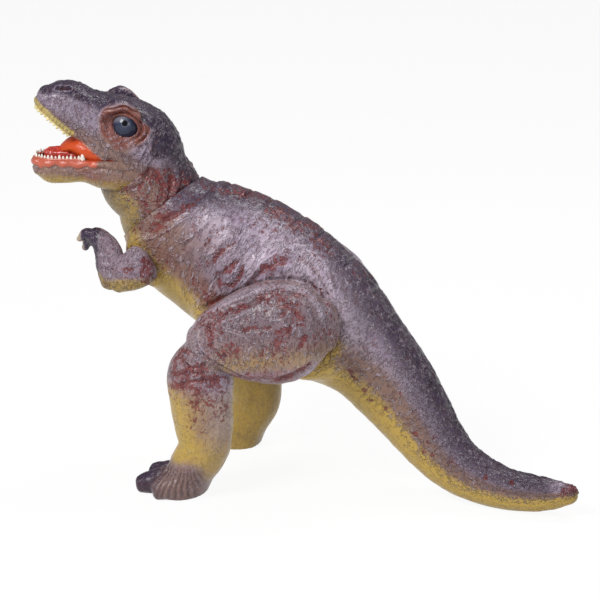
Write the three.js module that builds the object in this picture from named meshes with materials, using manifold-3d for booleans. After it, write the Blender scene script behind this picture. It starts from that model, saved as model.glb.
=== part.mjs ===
// A stuffed soft-vinyl dinosaur: hollow castings plugged together at the collar, shoulders and hips.
// Millimetres, +Z up, snout towards -X, origin on the floor under the middle of the toy.
import * as THREE from "three";
import { mergeVertices } from "three/addons/utils/BufferGeometryUtils.js";
import Module from "manifold-3d";

// Length: the front of the jaws, the rear of the hips and the tail behind them
const SNOUT_X = -140;
const TAIL_ROOT_X = 120;
const TAIL_LENGTH = 217;
const TAIL_END = 8;
const MIDDLE_X = (SNOUT_X + TAIL_ROOT_X + TAIL_LENGTH + TAIL_END) / 2;

// The floor lies a little under the level that the sections are measured from
const FLOOR_Z = -4;

// Fits and walls
const CLEARANCE = 0.3;
const SKIN = 2.2;
const SEAT_WALL = 4;
const FLANGE = 3;
const BOSS_DEPTH = 14;

// Collar plug: its centre, the lean of its axis above level, and its radii
const COLLAR_X = -34;
const COLLAR_Z = 230;
const COLLAR_LEAN = 51;
const COLLAR_BOSS = 33;
const COLLAR_FLANGE = 27;
const COLLAR_STEM = 22;
const COLLAR_BORE = 17;

// Shoulder plugs: place of the axis, half the distance between the seats, radii
const SHOULDER_X = -32;
const SHOULDER_Z = 192;
const SHOULDER_FACE = 45.5;
const SHOULDER_BOSS = 13;
const SHOULDER_FLANGE = 9;
const SHOULDER_STEM = 6;

// Hip plugs
const HIP_X = 92;
const HIP_Z = 149;
const HIP_FACE = 50;
const HIP_BOSS = 30;
const HIP_FLANGE = 20;
const HIP_STEM = 14;
const HIP_BORE = 9.5;

// Head: the moulded turn of the face about the top of the neck
const HEAD_TURN = 20;
const NECK_TOP_X = -42;

// Mouth: the corner of the lips, the lift of the upper lip and the level of the lower one
const MOUTH_X = -86;
const MOUTH_Z = 279;
const GAPE = 40;
const LOWER_LIP_Z = 278;
const GUM = 3;
const GUM_HIGH = 2.4;
const MOUTH_DEPTH = 9;
const TEETH = 15;
const TEETH_START = 6;
const TOOTH = 1.8;
const TOOTH_HIGH = 5;

// Eyes
const EYE_X = -62;
const EYE_Y = 27;
const EYE_Z = 309;
const EYE = 11.5;
const EYE_SPLAY = 14;
const LID_OPEN = 3.5;

// Nostrils
const NOSTRIL_X = -121;
const NOSTRIL_Y = 10;
const NOSTRIL_Z = 343;
const NOSTRIL = 3;

// Sections along each form: x, y, z of the centre, half height and half width
const tailAt = (share, ...rest) => [TAIL_ROOT_X + share * TAIL_LENGTH, ...rest];
const TRUNK = [
  [-44, 0, 244, 43, 37],
  [-30, 0, 227, 46, 41.5],
  [-12, 0, 210, 53.5, 44.5],
  [16, 0, 196, 59.5, 47.5],
  [44, 0, 182, 64, 49],
  [84, 0, 158, 64.5, 49],
  tailAt(0, 0, 138, 55, 47),
  tailAt(0.159, -1, 112, 40.5, 38.5),
  tailAt(0.265, -3, 88.5, 36.5, 33),
  tailAt(0.355, -7, 66, 32, 29),
  tailAt(0.447, -13, 43, 27, 25),
  tailAt(0.562, -20, 24, 22.5, 21.5),
  tailAt(0.742, -28, 12.9, 17.4, 17),
  tailAt(0.922, -32, 13, 13.3, 12.5),
  tailAt(1, -33.5, 15.5, 8.5, 8),
];
const NECK = [
  [-20, 0, 215, 47, 43],
  [-29.5, 0, 230, 41.5, 39.5],
  [-35.5, 0, 245, 37.5, 36.5],
  [-48, 0, 258, 41, 34.5],
  [-48, 0, 276, 33, 31],
];
const NECK_END = 18;
const SKULL = [
  [-35, 0, 266, 26.5, 30],
  [-43.5, 0, 279, 31, 35],
  [-53, 0, 290.5, 32.3, 37],
  [-65.5, 0, 299.5, 29, 36],
  [-82, 0, 306.5, 26, 31],
  [-97.3, 0, 312.5, 23.5, 26.5],
  [-111.7, 0, 319.5, 23.8, 24],
  [-122.5, 0, 324, 20.3, 21.5],
  [-131, 0, 326, 13.5, 16.5],
];
const SKULL_BACK = 8;
const SKULL_END = 9;
const JAW = [
  [-50, 0, 266, 22, 31],
  [-70, 0, 270, 22.5, 34],
  [-86, 0, 272, 21.5, 31],
  [-101, 0, 272.5, 17, 26],
  [-118, 0, 272, 17.5, 23],
  [-131, 0, 272, 16.5, 19.5],
  [-139.5, 0, 272.5, 10.5, 13.5],
];
const JAW_END = 5;
const BROW = [
  [-90, 23, 309, 4.5, 4.5],
  [-80, 28, 319.5, 6.5, 6.5],
  [-67, 31, 324.5, 8, 8],
  [-54, 31.5, 315, 6.5, 6.5],
];
const BROW_END = 5;
const THROAT = [
  [-78, 0, 280, 13, 28.5],
  [-92, 0, 283, 10, 25.5],
  [-107, 0, 285, 7.5, 19],
  [-116, 0, 284, 5, 13],
];
const THROAT_END = 4;
const TONGUE = [
  [-98, 0, 275, 5, 14],
  [-112, 0, 277, 5, 13.5],
  [-122, 0, 278, 4.5, 11],
  [-130, 0, 277, 3.5, 8],
];
const TONGUE_END = 4;
const UPPER_ARM = [
  [-30, 56, 194, 18, 14],
  [-42, 57.5, 186, 16, 13],
  [-54, 58, 180, 12.5, 11.5],
];
const ELBOW = 8;
const FOREARM = [
  [-56, 58, 178, 12, 11],
  [-59, 57, 190, 13, 11],
  [-62, 55.5, 203, 12, 10],
  [-69, 54.5, 212, 10, 8.5],
  [-76, 54, 216, 8, 7],
];
const HAND_END = 4;
const FINGERS = [
  [
    [-73, 57, 216, 5.5, 5],
    [-81, 57, 218, 4.5, 4.5],
    [-87, 56, 213, 3, 3],
  ],
  [
    [-73, 51.5, 213, 5, 5],
    [-81, 51, 211, 4.5, 4],
    [-85, 50.5, 204, 3, 3],
  ],
];
const FINGER_END = 3;
const THIGH = [
  [132, 57, 154, 22.5, 15.5],
  [117, 63, 152.5, 37, 24],
  [92, 65, 147, 44, 26.5],
  [66, 66, 142, 39.5, 26],
  [40, 66, 135.5, 28.5, 23.5],
  [26, 66, 129, 19.5, 20.5],
];
const THIGH_END = 11;
const THIGH_LEAN = 16;
const KNEE_Z = 132;
const KNEE_END = 9;
const RIGHT_STEP = 9;
const SHIN = [
  [31.5, 66, KNEE_Z, 17, 20],
  [24, 66, 104, 29, 23],
  [24, 66, 82, 28, 23],
  [25.5, 65, 60, 26, 22.5],
  [25.5, 65, 38, 22.5, 23],
  [14.5, 65, 17, 20.5, 26],
  [4.5, 64.5, -7, 19.5, 28.5],
];
const TOES = [
  [
    [10, 70, 10.5, 15.5, 15],
    [-10, 74, 6, 12, 12],
    [-23, 77, 3.5, 9.5, 10],
    [-28.5, 78, 2.5, 8, 8.5],
  ],
  [
    [14, 78, 9, 13.5, 13],
    [0, 86, 6, 11.5, 11.5],
    [-10, 91, 4, 9.5, 9.5],
  ],
  [
    [10, 58, 9, 13.5, 13],
    [-10, 56, 6, 11.5, 11],
    [-24, 54.5, 4, 9.5, 9.5],
  ],
];
const TOE_END = 4;

const REACH = 900;
const wasm = await Module();
wasm.setup();

const radians = THREE.MathUtils.degToRad;
const SIDES = { left: -1, right: 1 };
const bothSides = Object.values(SIDES);
const eachSide = (make) => bothSides.map(make);

// The sections of a form: square to a smooth path, shrinking into a dome at each end that has one
function sectionsOf(rows, { steps = 1, back = 0, front = 0, grow = 0, side = 1, lean = 0 }) {
  const path = new THREE.CatmullRomCurve3(rows.map((r) => new THREE.Vector3(r[0], side * r[1], r[2])));
  const halves = rows.map((r) => new THREE.Vector3(r[3] + grow, r[4] + grow, 0));
  const sizes = new THREE.CatmullRomCurve3(halves, false, "catmullrom", 0.5);
  const count = (rows.length - 1) * steps;
  const rings = [];
  for (let k = 0; k <= count; k++) {
    const along = path.getTangent(k / count).normalize();
    const across = new THREE.Vector3(0, 1, 0).projectOnPlane(along).normalize();
    across.applyAxisAngle(along, -side * radians(lean));
    const upward = along.clone().cross(across);
    rings.push({ centre: path.getPoint(k / count), along, across, upward, size: sizes.getPoint(k / count) });
  }
  const domed = (ring, length, level) => {
    const turn = (level / 3) * (Math.PI / 2);
    const centre = ring.centre.clone().addScaledVector(ring.along, length * Math.sin(turn));
    return { ...ring, centre, size: ring.size.clone().multiplyScalar(Math.cos(turn)) };
  };
  const start = back > 0 ? -back - grow : 0;
  const finish = front > 0 ? front + grow : 0;
  const first = start ? [2, 1].map((level) => domed(rings[0], start, level)) : [];
  const final = finish ? [1, 2].map((level) => domed(rings[count], finish, level)) : [];
  const tips = [domed(rings[0], start, 3).centre, domed(rings[count], finish, 3).centre];
  return { rings: [...first, ...rings, ...final], tips };
}

// A closed skin over those sections; a square above 2 makes an ellipse boxier
function loft(rows, options) {
  const { sides = 20, square = 2 } = options;
  const { rings, tips } = sectionsOf(rows, options);
  const bulge = (value) => Math.sign(value) * Math.abs(value) ** (2 / square);
  const points = [];
  for (const ring of rings) {
    for (let i = 0; i < sides; i++) {
      const angle = (i / sides) * Math.PI * 2;
      const point = ring.centre.clone();
      point.addScaledVector(ring.across, bulge(Math.cos(angle)) * ring.size.y);
      point.addScaledVector(ring.upward, bulge(Math.sin(angle)) * ring.size.x);
      points.push(point.x, point.y, point.z);
    }
  }
  tips.forEach((tip) => points.push(tip.x, tip.y, tip.z));
  const faces = [];
  const pole = rings.length * sides;
  for (let i = 0; i < sides; i++) {
    const j = (i + 1) % sides;
    for (let a = 0; a + sides < pole; a += sides) {
      faces.push(a + i, a + j, a + sides + i, a + j, a + sides + j, a + sides + i);
    }
    faces.push(pole, j, i, pole + 1, pole - sides + i, pole - sides + j);
  }
  const geometry = new THREE.BufferGeometry();
  geometry.setAttribute("position", new THREE.Float32BufferAttribute(points, 3));
  geometry.setIndex(faces);
  return geometry;
}

function solid(geometry) {
  const bare = new THREE.BufferGeometry();
  bare.setAttribute("position", geometry.getAttribute("position"));
  bare.setIndex(geometry.getIndex());
  const merged = mergeVertices(bare, 1e-4);
  const vertProperties = new Float32Array(merged.getAttribute("position").array);
  const triVerts = new Uint32Array(merged.getIndex().array);
  return new wasm.Manifold(new wasm.Mesh({ numProp: 3, vertProperties, triVerts }));
}

const join = (...bodies) => bodies.reduce((whole, body) => whole.add(body));
const cut = (whole, ...bodies) => bodies.reduce((rest, body) => rest.subtract(body), whole);

// A frame whose +Z is the given direction
function frameAt(x, y, z, direction) {
  const turn = new THREE.Quaternion().setFromUnitVectors(new THREE.Vector3(0, 0, 1), direction);
  return new THREE.Matrix4().compose(new THREE.Vector3(x, y, z), turn, new THREE.Vector3(1, 1, 1));
}

// A round bar along a frame's axis, and the half spaces ahead of and behind a plane square to it
function bar(frame, radius, from, to) {
  const sides = radius < COLLAR_BORE ? 16 : 24;
  const round = new THREE.CylinderGeometry(radius, radius, to - from, sides).rotateX(Math.PI / 2);
  return solid(round.translate(0, 0, (from + to) / 2).applyMatrix4(frame));
}

function block(frame, middle) {
  return solid(new THREE.BoxGeometry(REACH, REACH, REACH).translate(0, 0, middle).applyMatrix4(frame));
}

const ahead = (frame, from) => block(frame, from + REACH / 2);
const behind = (frame, to) => block(frame, to - REACH / 2);

function ball(frame, radius, sides = 16) {
  return solid(new THREE.SphereGeometry(radius, sides, sides * 0.75).applyMatrix4(frame));
}

// A swivel plug: the seat in the trunk takes boss, pocket and hole; the limb takes stem and flange
const seatBoss = ({ frame, boss }, grow) => bar(frame, boss + grow, -BOSS_DEPTH - grow, grow);

function seatHole({ frame, flange, stem }) {
  const pocket = bar(frame, flange + CLEARANCE, -BOSS_DEPTH - SKIN, -SEAT_WALL);
  return join(pocket, bar(frame, stem + CLEARANCE, -BOSS_DEPTH, SKIN));
}

function plug({ frame, flange, stem }) {
  const inner = -SEAT_WALL - CLEARANCE;
  return join(bar(frame, stem, inner - FLANGE, SEAT_WALL + CLEARANCE), bar(frame, flange, inner - FLANGE, inner));
}

function boreOf({ frame, bore }) {
  return bar(frame, bore, -SEAT_WALL - FLANGE - SKIN, SEAT_WALL + SKIN);
}

const up = new THREE.Vector3(0, 0, 1);
const lean = radians(COLLAR_LEAN);
const neckward = new THREE.Vector3(-Math.cos(lean), 0, Math.sin(lean));
const sideways = (side) => new THREE.Vector3(0, side, 0);
const floor = frameAt(0, 0, FLOOR_Z, up);
const collar = {
  frame: frameAt(COLLAR_X, 0, COLLAR_Z, neckward),
  boss: COLLAR_BOSS,
  flange: COLLAR_FLANGE,
  stem: COLLAR_STEM,
  bore: COLLAR_BORE,
};
const shoulder = (side) => ({
  frame: frameAt(SHOULDER_X, side * SHOULDER_FACE, SHOULDER_Z, sideways(side)),
  boss: SHOULDER_BOSS,
  flange: SHOULDER_FLANGE,
  stem: SHOULDER_STEM,
});
const hip = (side) => ({
  frame: frameAt(HIP_X, side * HIP_FACE, HIP_Z, sideways(side)),
  boss: HIP_BOSS,
  flange: HIP_FLANGE,
  stem: HIP_STEM,
  bore: HIP_BORE,
});

// Inner forms are plainer than outer ones
const fineness = (grow, sides) => ({ grow, sides: grow < 0 ? 14 : sides });

// Trunk and tail
const trunkForm = (grow) => solid(loft(TRUNK, { ...fineness(grow, 24), square: 2.4, front: TAIL_END }));
const trunkOuter = cut(trunkForm(0), ahead(collar.frame, 0), behind(floor, 0));
const trunkHollow = (grow) =>
  cut(trunkForm(-SKIN - grow), ahead(collar.frame, -SEAT_WALL - grow), behind(floor, SKIN + grow));
const seats = [collar, ...eachSide(shoulder), ...eachSide(hip)];
const bosses = seats.map((seat) => seatBoss(seat, 0));
const trunkSkin = cut(join(cut(trunkOuter, trunkHollow(0)), ...bosses), ...seats.map(seatHole));
const trunkFill = cut(trunkHollow(CLEARANCE), ...seats.map((seat) => seatBoss(seat, CLEARANCE)));
const trunkClear = join(cut(trunkForm(CLEARANCE), ahead(collar.frame, CLEARANCE)), ...bosses);

// Head: neck and skull are one casting, the face turned about the top of the neck
const pivot = new THREE.Matrix4().makeTranslation(NECK_TOP_X, 0, 0);
const face = new THREE.Matrix4().makeRotationZ(radians(HEAD_TURN)).premultiply(pivot);
face.multiply(pivot.clone().invert());
const inFace = (x, y, z, direction) => face.clone().multiply(frameAt(x, y, z, direction));
const faceForm = (rows, options) => solid(loft(rows, options).applyMatrix4(face));
const gape = radians(GAPE);
const palate = inFace(MOUTH_X, 0, MOUTH_Z, new THREE.Vector3(Math.sin(gape), 0, Math.cos(gape)));
const palateStart = inFace(MOUTH_X, 0, MOUTH_Z, new THREE.Vector3(-Math.cos(gape), 0, Math.sin(gape)));
const lowerLip = inFace(MOUTH_X, 0, LOWER_LIP_Z, up);
const lowerLipStart = inFace(MOUTH_X, 0, LOWER_LIP_Z, new THREE.Vector3(-1, 0, 0));

const skullOptions = { square: 2.5, back: SKULL_BACK, front: SKULL_END };
const jawOptions = { square: 2.5, front: JAW_END };
const neckForm = (grow) => solid(loft(NECK, { ...fineness(grow, 20), front: NECK_END }));
const skullForm = (grow) => faceForm(SKULL, { ...fineness(grow, 22), ...skullOptions });
const jawForm = (grow) => faceForm(JAW, { ...fineness(grow, 22), ...jawOptions });
const throatForm = (grow) => faceForm(THROAT, { sides: 16, front: THROAT_END, grow });
const skullOuter = join(cut(skullForm(0), behind(palate, 0)), throatForm(0));
const headHollow = (grow) => {
  const skull = cut(skullForm(-SKIN - grow), behind(palate, SKIN + grow));
  return cut(join(neckForm(-SKIN - grow), skull), behind(collar.frame, CLEARANCE + SEAT_WALL + grow));
};
const splay = radians(EYE_SPLAY);
const eyeFrame = (side) =>
  inFace(EYE_X, side * EYE_Y, EYE_Z, new THREE.Vector3(-Math.sin(splay), side * Math.cos(splay), 0));
const socket = (side) => cut(ball(eyeFrame(side), EYE + CLEARANCE + SKIN, 12), ahead(eyeFrame(side), LID_OPEN));
const brow = (side) => faceForm(BROW, { sides: 10, back: BROW_END, front: BROW_END, side });
const nostril = (side) => ball(inFace(NOSTRIL_X, side * NOSTRIL_Y, NOSTRIL_Z, up), NOSTRIL, 8);
const headOuter = cut(join(neckForm(0), skullOuter, ...eachSide(brow)), behind(collar.frame, CLEARANCE));
const headSkin = cut(
  join(cut(headOuter, headHollow(0)), plug(collar), ...eachSide(socket)),
  boreOf(collar),
  ...eachSide((side) => ball(eyeFrame(side), EYE + CLEARANCE)),
  ...eachSide(nostril),
);
const headFill = cut(
  headHollow(CLEARANCE),
  ...eachSide((side) => ball(eyeFrame(side), EYE + SKIN + 2 * CLEARANCE, 12)),
);
const skullClear = join(cut(skullForm(CLEARANCE), behind(palate, -CLEARANCE)), throatForm(CLEARANCE));
const headClear = join(neckForm(CLEARANCE), skullClear);

// Lower jaw with its mouth hollow, and the tongue lying in it
const mouthHollow = cut(jawForm(-GUM - SKIN), behind(lowerLip, -MOUTH_DEPTH));
const lowerJaw = cut(jawForm(0), ahead(lowerLip, 0), mouthHollow, headClear);
const tongue = cut(
  faceForm(TONGUE, { sides: 14, back: TONGUE_END, front: TONGUE_END }),
  headClear,
  behind(lowerLip, CLEARANCE - MOUTH_DEPTH),
);

// The line round a jaw where its form, shrunk by half the gum, meets the plane of its lips
function rimOf(rows, options, plane, start) {
  const { rings } = sectionsOf(rows, { ...options, grow: -(SKIN + GUM) / 2 });
  const toPlane = plane.clone().invert().multiply(face);
  const toStart = start.clone().invert().multiply(face);
  const flanks = bothSides.map(() => []);
  let front = null;
  let last = { share: 1 };
  for (const ring of rings) {
    const rise = -ring.centre.clone().applyMatrix4(toPlane).z / ring.upward.clone().transformDirection(toPlane).z;
    const keel = ring.centre.clone().addScaledVector(ring.upward, rise);
    const share = Math.abs(rise / ring.size.x);
    const onward = keel.clone().applyMatrix4(toStart).z;
    if (share >= 1 && last.share < 1 && onward > 0) {
      front = last.keel.clone().lerp(keel, (1 - last.share) / (share - last.share));
    }
    const half = ring.size.y * Math.max(0, 1 - share ** options.square) ** (1 / options.square);
    if (half > TOOTH && onward > TEETH_START + TOOTH) {
      bothSides.forEach((side, i) => flanks[i].push(keel.clone().addScaledVector(ring.across, side * half)));
    }
    last = { share, keel };
  }
  const line = [...flanks[0], front ?? last.keel, ...flanks[1].reverse()];
  return new THREE.CatmullRomCurve3(line.map((point) => point.clone().applyMatrix4(face)));
}

// A tooth row: points along that line, standing on one gum strip cut from the jaw's own form
function toothRow(rows, options, plane, start, lift) {
  const foot = lift * CLEARANCE;
  const crown = lift * (CLEARANCE + GUM_HIGH);
  const form = (grow) => faceForm(rows, { ...options, sides: 24, grow });
  const band = cut(form(-SKIN / 2), form(-SKIN / 2 - GUM), behind(start, TEETH_START));
  const strip = cut(band, behind(plane, Math.min(foot, crown)), ahead(plane, Math.max(foot, crown)));
  const turn = new THREE.Quaternion().setFromRotationMatrix(plane);
  const rise = new THREE.Vector3(0, 0, 1).applyQuaternion(turn);
  const teeth = rimOf(rows, options, plane, start)
    .getSpacedPoints(TEETH - 1)
    .map((point) => {
      const cone = new THREE.ConeGeometry(TOOTH, TOOTH_HIGH, 6).rotateX((lift * Math.PI) / 2);
      const place = point.clone().addScaledVector(rise, foot + lift * (TOOTH_HIGH + GUM_HIGH) * 0.5);
      return solid(cone.applyQuaternion(turn).translate(place.x, place.y, place.z));
    });
  return join(strip, ...teeth);
}

const upperRow = toothRow(SKULL, skullOptions, palate, palateStart, -1);
const upperTeeth = cut(upperRow, throatForm(CLEARANCE));
const lowerRow = toothRow(JAW, jawOptions, lowerLip, lowerLipStart, 1);
const lowerTeeth = cut(lowerRow, throatForm(CLEARANCE));

const materials = {
  skin: { color: 0x9c8a94, roughness: 0.45, metalness: 0 },
  jaw: { color: 0xb58a5c, roughness: 0.45, metalness: 0 },
  tongue: { color: 0xb8402c, roughness: 0.4, metalness: 0 },
  teeth: { color: 0xe6dfc8, roughness: 0.4, metalness: 0 },
  eye: { color: 0x5f6470, roughness: 0.12, metalness: 0 },
  fill: { color: 0xeae6dc, roughness: 0.95, metalness: 0 },
};

const dinosaur = new THREE.Group();
function addPart(name, body, look) {
  const mesh = body.getMesh();
  const geometry = new THREE.BufferGeometry();
  geometry.setAttribute("position", new THREE.BufferAttribute(mesh.vertProperties, 3));
  geometry.setIndex(new THREE.BufferAttribute(mesh.triVerts, 1));
  geometry.computeVertexNormals();
  const part = new THREE.Mesh(geometry, new THREE.MeshStandardMaterial(materials[look]));
  part.name = name;
  dinosaur.add(part);
}

addPart("torso_skin", trunkSkin, "skin");
addPart("body_stuffing", trunkFill, "fill");
addPart("head_skin", headSkin, "skin");
addPart("head_stuffing", headFill, "fill");
addPart("lower_jaw", lowerJaw, "jaw");
addPart("tongue", tongue, "tongue");
addPart("upper_teeth", upperTeeth, "teeth");
addPart("lower_teeth", lowerTeeth, "teeth");

for (const [name, side] of Object.entries(SIDES)) {
  addPart(`${name}_eye`, ball(eyeFrame(side), EYE), "eye");

  const shoulderSeat = shoulder(side);
  const armForm = join(
    solid(loft(UPPER_ARM, { sides: 16, back: ELBOW, front: ELBOW, side })),
    solid(loft(FOREARM, { sides: 14, back: ELBOW, front: HAND_END, side })),
    ...FINGERS.map((rows) => solid(loft(rows, { sides: 10, front: FINGER_END, side }))),
  );
  const armFlat = cut(armForm, behind(shoulderSeat.frame, CLEARANCE), trunkClear);
  addPart(`${name}_arm_skin`, join(armFlat, plug(shoulderSeat)), "skin");

  const hipSeat = hip(side);
  const thighOptions = { back: THIGH_END, front: THIGH_END, lean: THIGH_LEAN, side };
  const step = side > 0 ? RIGHT_STEP : 0;
  const stepped = (rows) => rows.map(([x, ...rest]) => [x + step * (1 - rest[1] / KNEE_Z), ...rest]);
  const legForm = (grow) =>
    join(
      solid(loft(THIGH, { ...fineness(grow, 22), ...thighOptions })),
      solid(loft(stepped(SHIN), { ...fineness(grow, 20), back: KNEE_END, side })),
    );
  const toes = TOES.map((rows) => solid(loft(stepped(rows), { sides: 14, front: TOE_END, side })));
  const legOuter = cut(join(legForm(0), ...toes), behind(hipSeat.frame, CLEARANCE), behind(floor, 0), trunkClear);
  const legHollow = (grow) =>
    cut(legForm(-SKIN - grow), behind(hipSeat.frame, CLEARANCE + SEAT_WALL + grow), behind(floor, SKIN + grow));
  addPart(`${name}_leg_skin`, cut(join(cut(legOuter, legHollow(0)), plug(hipSeat)), boreOf(hipSeat)), "skin");
  addPart(`${name}_leg_stuffing`, legHollow(CLEARANCE), "fill");
}

dinosaur.position.set(-MIDDLE_X, 0, -FLOOR_Z);

const toy = new THREE.Group();
toy.add(dinosaur);

export default toy;
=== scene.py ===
"""A stuffed soft-vinyl dinosaur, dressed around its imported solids.

Shapes are worked out in millimetres behind the feet, as the solids are, and put into the
row frame, in metres, when a mesh is made. The snout points to -X and the left side is -Y.
"""
import math

import bmesh
import bpy
import numpy as np
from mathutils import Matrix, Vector


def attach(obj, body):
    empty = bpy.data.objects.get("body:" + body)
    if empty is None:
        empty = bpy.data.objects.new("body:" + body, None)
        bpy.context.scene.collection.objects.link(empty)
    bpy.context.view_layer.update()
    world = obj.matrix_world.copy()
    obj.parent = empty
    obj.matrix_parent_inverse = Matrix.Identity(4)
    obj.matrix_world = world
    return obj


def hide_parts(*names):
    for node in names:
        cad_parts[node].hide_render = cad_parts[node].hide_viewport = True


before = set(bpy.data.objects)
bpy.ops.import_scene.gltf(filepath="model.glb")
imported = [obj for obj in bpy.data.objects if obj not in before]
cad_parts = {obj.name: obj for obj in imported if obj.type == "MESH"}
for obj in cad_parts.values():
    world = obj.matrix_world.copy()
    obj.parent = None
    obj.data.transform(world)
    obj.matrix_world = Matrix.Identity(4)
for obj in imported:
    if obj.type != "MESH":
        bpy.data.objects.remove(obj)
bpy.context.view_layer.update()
scene = bpy.context.scene

# Camera: the photograph's viewing angle
PICTURE_PIXELS = 600
FOCUS_PIXELS = 1954
SENSOR = 36
VIEW_ROUND = math.radians(16)
VIEW_UP = math.radians(16)
VIEW_FAR = 1.7
VIEW_AIM = Vector((-0.0105, 0.0037, 0.1595))

back = Vector((
    math.sin(VIEW_ROUND) * math.cos(VIEW_UP),
    -math.cos(VIEW_ROUND) * math.cos(VIEW_UP),
    math.sin(VIEW_UP),
))
camera = bpy.data.objects.new("camera", bpy.data.cameras.new("camera"))
scene.collection.objects.link(camera)
camera.data.sensor_width = SENSOR
camera.data.lens = SENSOR * FOCUS_PIXELS / PICTURE_PIXELS
camera.location = VIEW_AIM + back * VIEW_FAR
camera.rotation_mode = "QUATERNION"
camera.rotation_quaternion = (-back).to_track_quat("-Z", "Y")
camera.data.clip_end = 100
scene.camera = camera
scene.view_settings.view_transform = "Standard"

# Sizes shared with the solids
FLOOR = -4.0
MIDDLE = np.array([102.5, 0.0, FLOOR])
UP = np.array([0.0, 0.0, 1.0])
GROUND = (UP * FLOOR, -UP)
GAP = 0.3
SEAM = 0.05
COLLAR = np.array([-34.0, 0.0, 230.0])
COLLAR_LEAN = math.radians(51)
COLLAR_AXIS = np.array([-math.cos(COLLAR_LEAN), 0.0, math.sin(COLLAR_LEAN)])
SHOULDER_SEAT = 45.5
HIP_SEAT = 50.0
HEAD_TURN = math.radians(20)
NECK_TOP = np.array([-42.0, 0.0, 0.0])
MOUTH = np.array([-86.0, 0.0, 279.0])
GAPE = math.radians(40)
PALATE = np.array([math.sin(GAPE), 0.0, math.cos(GAPE)])
ALONG_LIP = np.array([-math.cos(GAPE), 0.0, math.sin(GAPE)])
LOWER_LIP = 278.0
TRUNK_SQUARE = 2.4
FACE_SQUARE = 2.5
SNOUT_DOME = 9.0
CHIN_DOME = 5.0
EYE = np.array([-62.0, 27.0, 309.0])
EYE_SIZE = 11.5
EYE_SPLAY = math.radians(14)
EYE_LEAN = math.radians(20)
LEFT, RIGHT = -1, 1

# Sections along each form: x, y, z of the centre, half height and half width
TRUNK = [
    [-44, 0, 244, 43, 37], [-30, 0, 227, 46, 41.5], [-12, 0, 210, 53.5, 44.5],
    [16, 0, 196, 59.5, 47.5], [44, 0, 182, 64, 49], [84, 0, 158, 64.5, 49],
    [120, 0, 138, 55, 47], [154.5, -1, 112, 40.5, 38.5], [177.5, -3, 88.5, 36.5, 33],
    [197, -7, 66, 32, 29], [217, -13, 43, 27, 25], [242, -20, 24, 22.5, 21.5],
    [281, -28, 12.9, 17.4, 17], [320, -32, 13, 13.3, 12.5], [337, -33.5, 15.5, 8.5, 8],
]
TAIL_TIP = 8.0
NECK = [
    [-20, 0, 215, 47, 43], [-29.5, 0, 230, 41.5, 39.5], [-35.5, 0, 245, 37.5, 36.5],
    [-48, 0, 258, 41, 34.5], [-48, 0, 276, 33, 31],
]
SKULL = [
    [-35, 0, 266, 26.5, 30], [-43.5, 0, 279, 31, 35], [-53, 0, 290.5, 32.3, 37],
    [-65.5, 0, 299.5, 29, 36], [-82, 0, 306.5, 26, 31], [-97.3, 0, 312.5, 23.5, 26.5],
    [-111.7, 0, 319.5, 23.8, 24], [-122.5, 0, 324, 20.3, 21.5], [-131, 0, 326, 13.5, 16.5],
]
JAW = [
    [-50, 0, 266, 22, 31], [-70, 0, 270, 22.5, 34], [-86, 0, 272, 21.5, 31],
    [-101, 0, 272.5, 17, 26], [-118, 0, 272, 17.5, 23], [-131, 0, 272, 16.5, 19.5],
    [-139.5, 0, 272.5, 10.5, 13.5],
]
BROW = [
    [-90, 23, 309, 4.5, 4.5], [-80, 28, 319.5, 6.5, 6.5],
    [-67, 31, 324.5, 8, 8], [-54, 31.5, 315, 6.5, 6.5],
]
NAPE = [[-33, 4, 248, 23, 31], [-35, 7, 277, 19.5, 30]]
THROAT = [
    [-78, 0, 280, 15, 30], [-92, 0, 284, 13, 27.5], [-103, 0, 287, 10.5, 22.5],
    [-110, 0, 287, 7, 17], [-117, 0, 284.5, 4, 12],
]
TONGUE = [
    [-98, 0, 275, 5, 14], [-112, 0, 277, 5, 13.5],
    [-122, 0, 278, 4.5, 11], [-130, 0, 277, 3.5, 8],
]
UPPER_ARM = [[-30, 56, 194, 18, 14], [-42, 57.5, 186, 16, 13], [-54, 58, 180, 12.5, 11.5]]
FOREARM = [
    [-56, 58, 178, 12, 11], [-59, 57, 190, 13, 11], [-62, 55.5, 203, 12, 10],
    [-69, 54.5, 212, 10, 8.5], [-76, 54, 216, 8, 7],
]
FINGERS = [
    [[-73, 57, 216, 5.5, 5], [-81, 57, 218, 4.5, 4.5], [-87, 56, 213, 3, 3]],
    [[-73, 51.5, 213, 5, 5], [-81, 51, 211, 4.5, 4], [-85, 50.5, 204, 3, 3]],
]
THIGH = [
    [132, 57, 154, 22.5, 15.5], [117, 63, 152.5, 37, 24], [92, 65, 147, 44, 26.5],
    [66, 66, 142, 39.5, 26], [40, 66, 135.5, 28.5, 23.5], [26, 66, 129, 19.5, 20.5],
]
KNEE_Z = 132.0
RIGHT_STEP = 9.0
SHIN = [
    [31.5, 66, 132, 17, 20], [24, 66, 104, 29, 23], [24, 66, 82, 28, 23],
    [25.5, 65, 60, 26, 22.5], [25.5, 65, 38, 22.5, 23], [14.5, 65, 17, 20.5, 26],
    [4.5, 64.5, -7, 19.5, 28.5],
]
TOES = [
    [[10, 70, 10.5, 15.5, 15], [-10, 74, 6, 12, 12], [-23, 77, 3.5, 9.5, 10], [-28.5, 78, 2.5, 8, 8.5]],
    [[14, 78, 9, 13.5, 13], [0, 86, 6, 11.5, 11.5], [-10, 91, 4, 9.5, 9.5]],
    [[10, 58, 9, 13.5, 13], [-10, 56, 6, 11.5, 11], [-24, 54.5, 4, 9.5, 9.5]],
]


# Forms

# Steps between two sections of a loft, a lip line and a path, and across a dome
LOFT_STEPS, LIP_STEPS, PATH_STEPS = 12, 24, 16
LOFT_DOME_STEPS, LIP_DOME_STEPS = 7, 11


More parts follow.
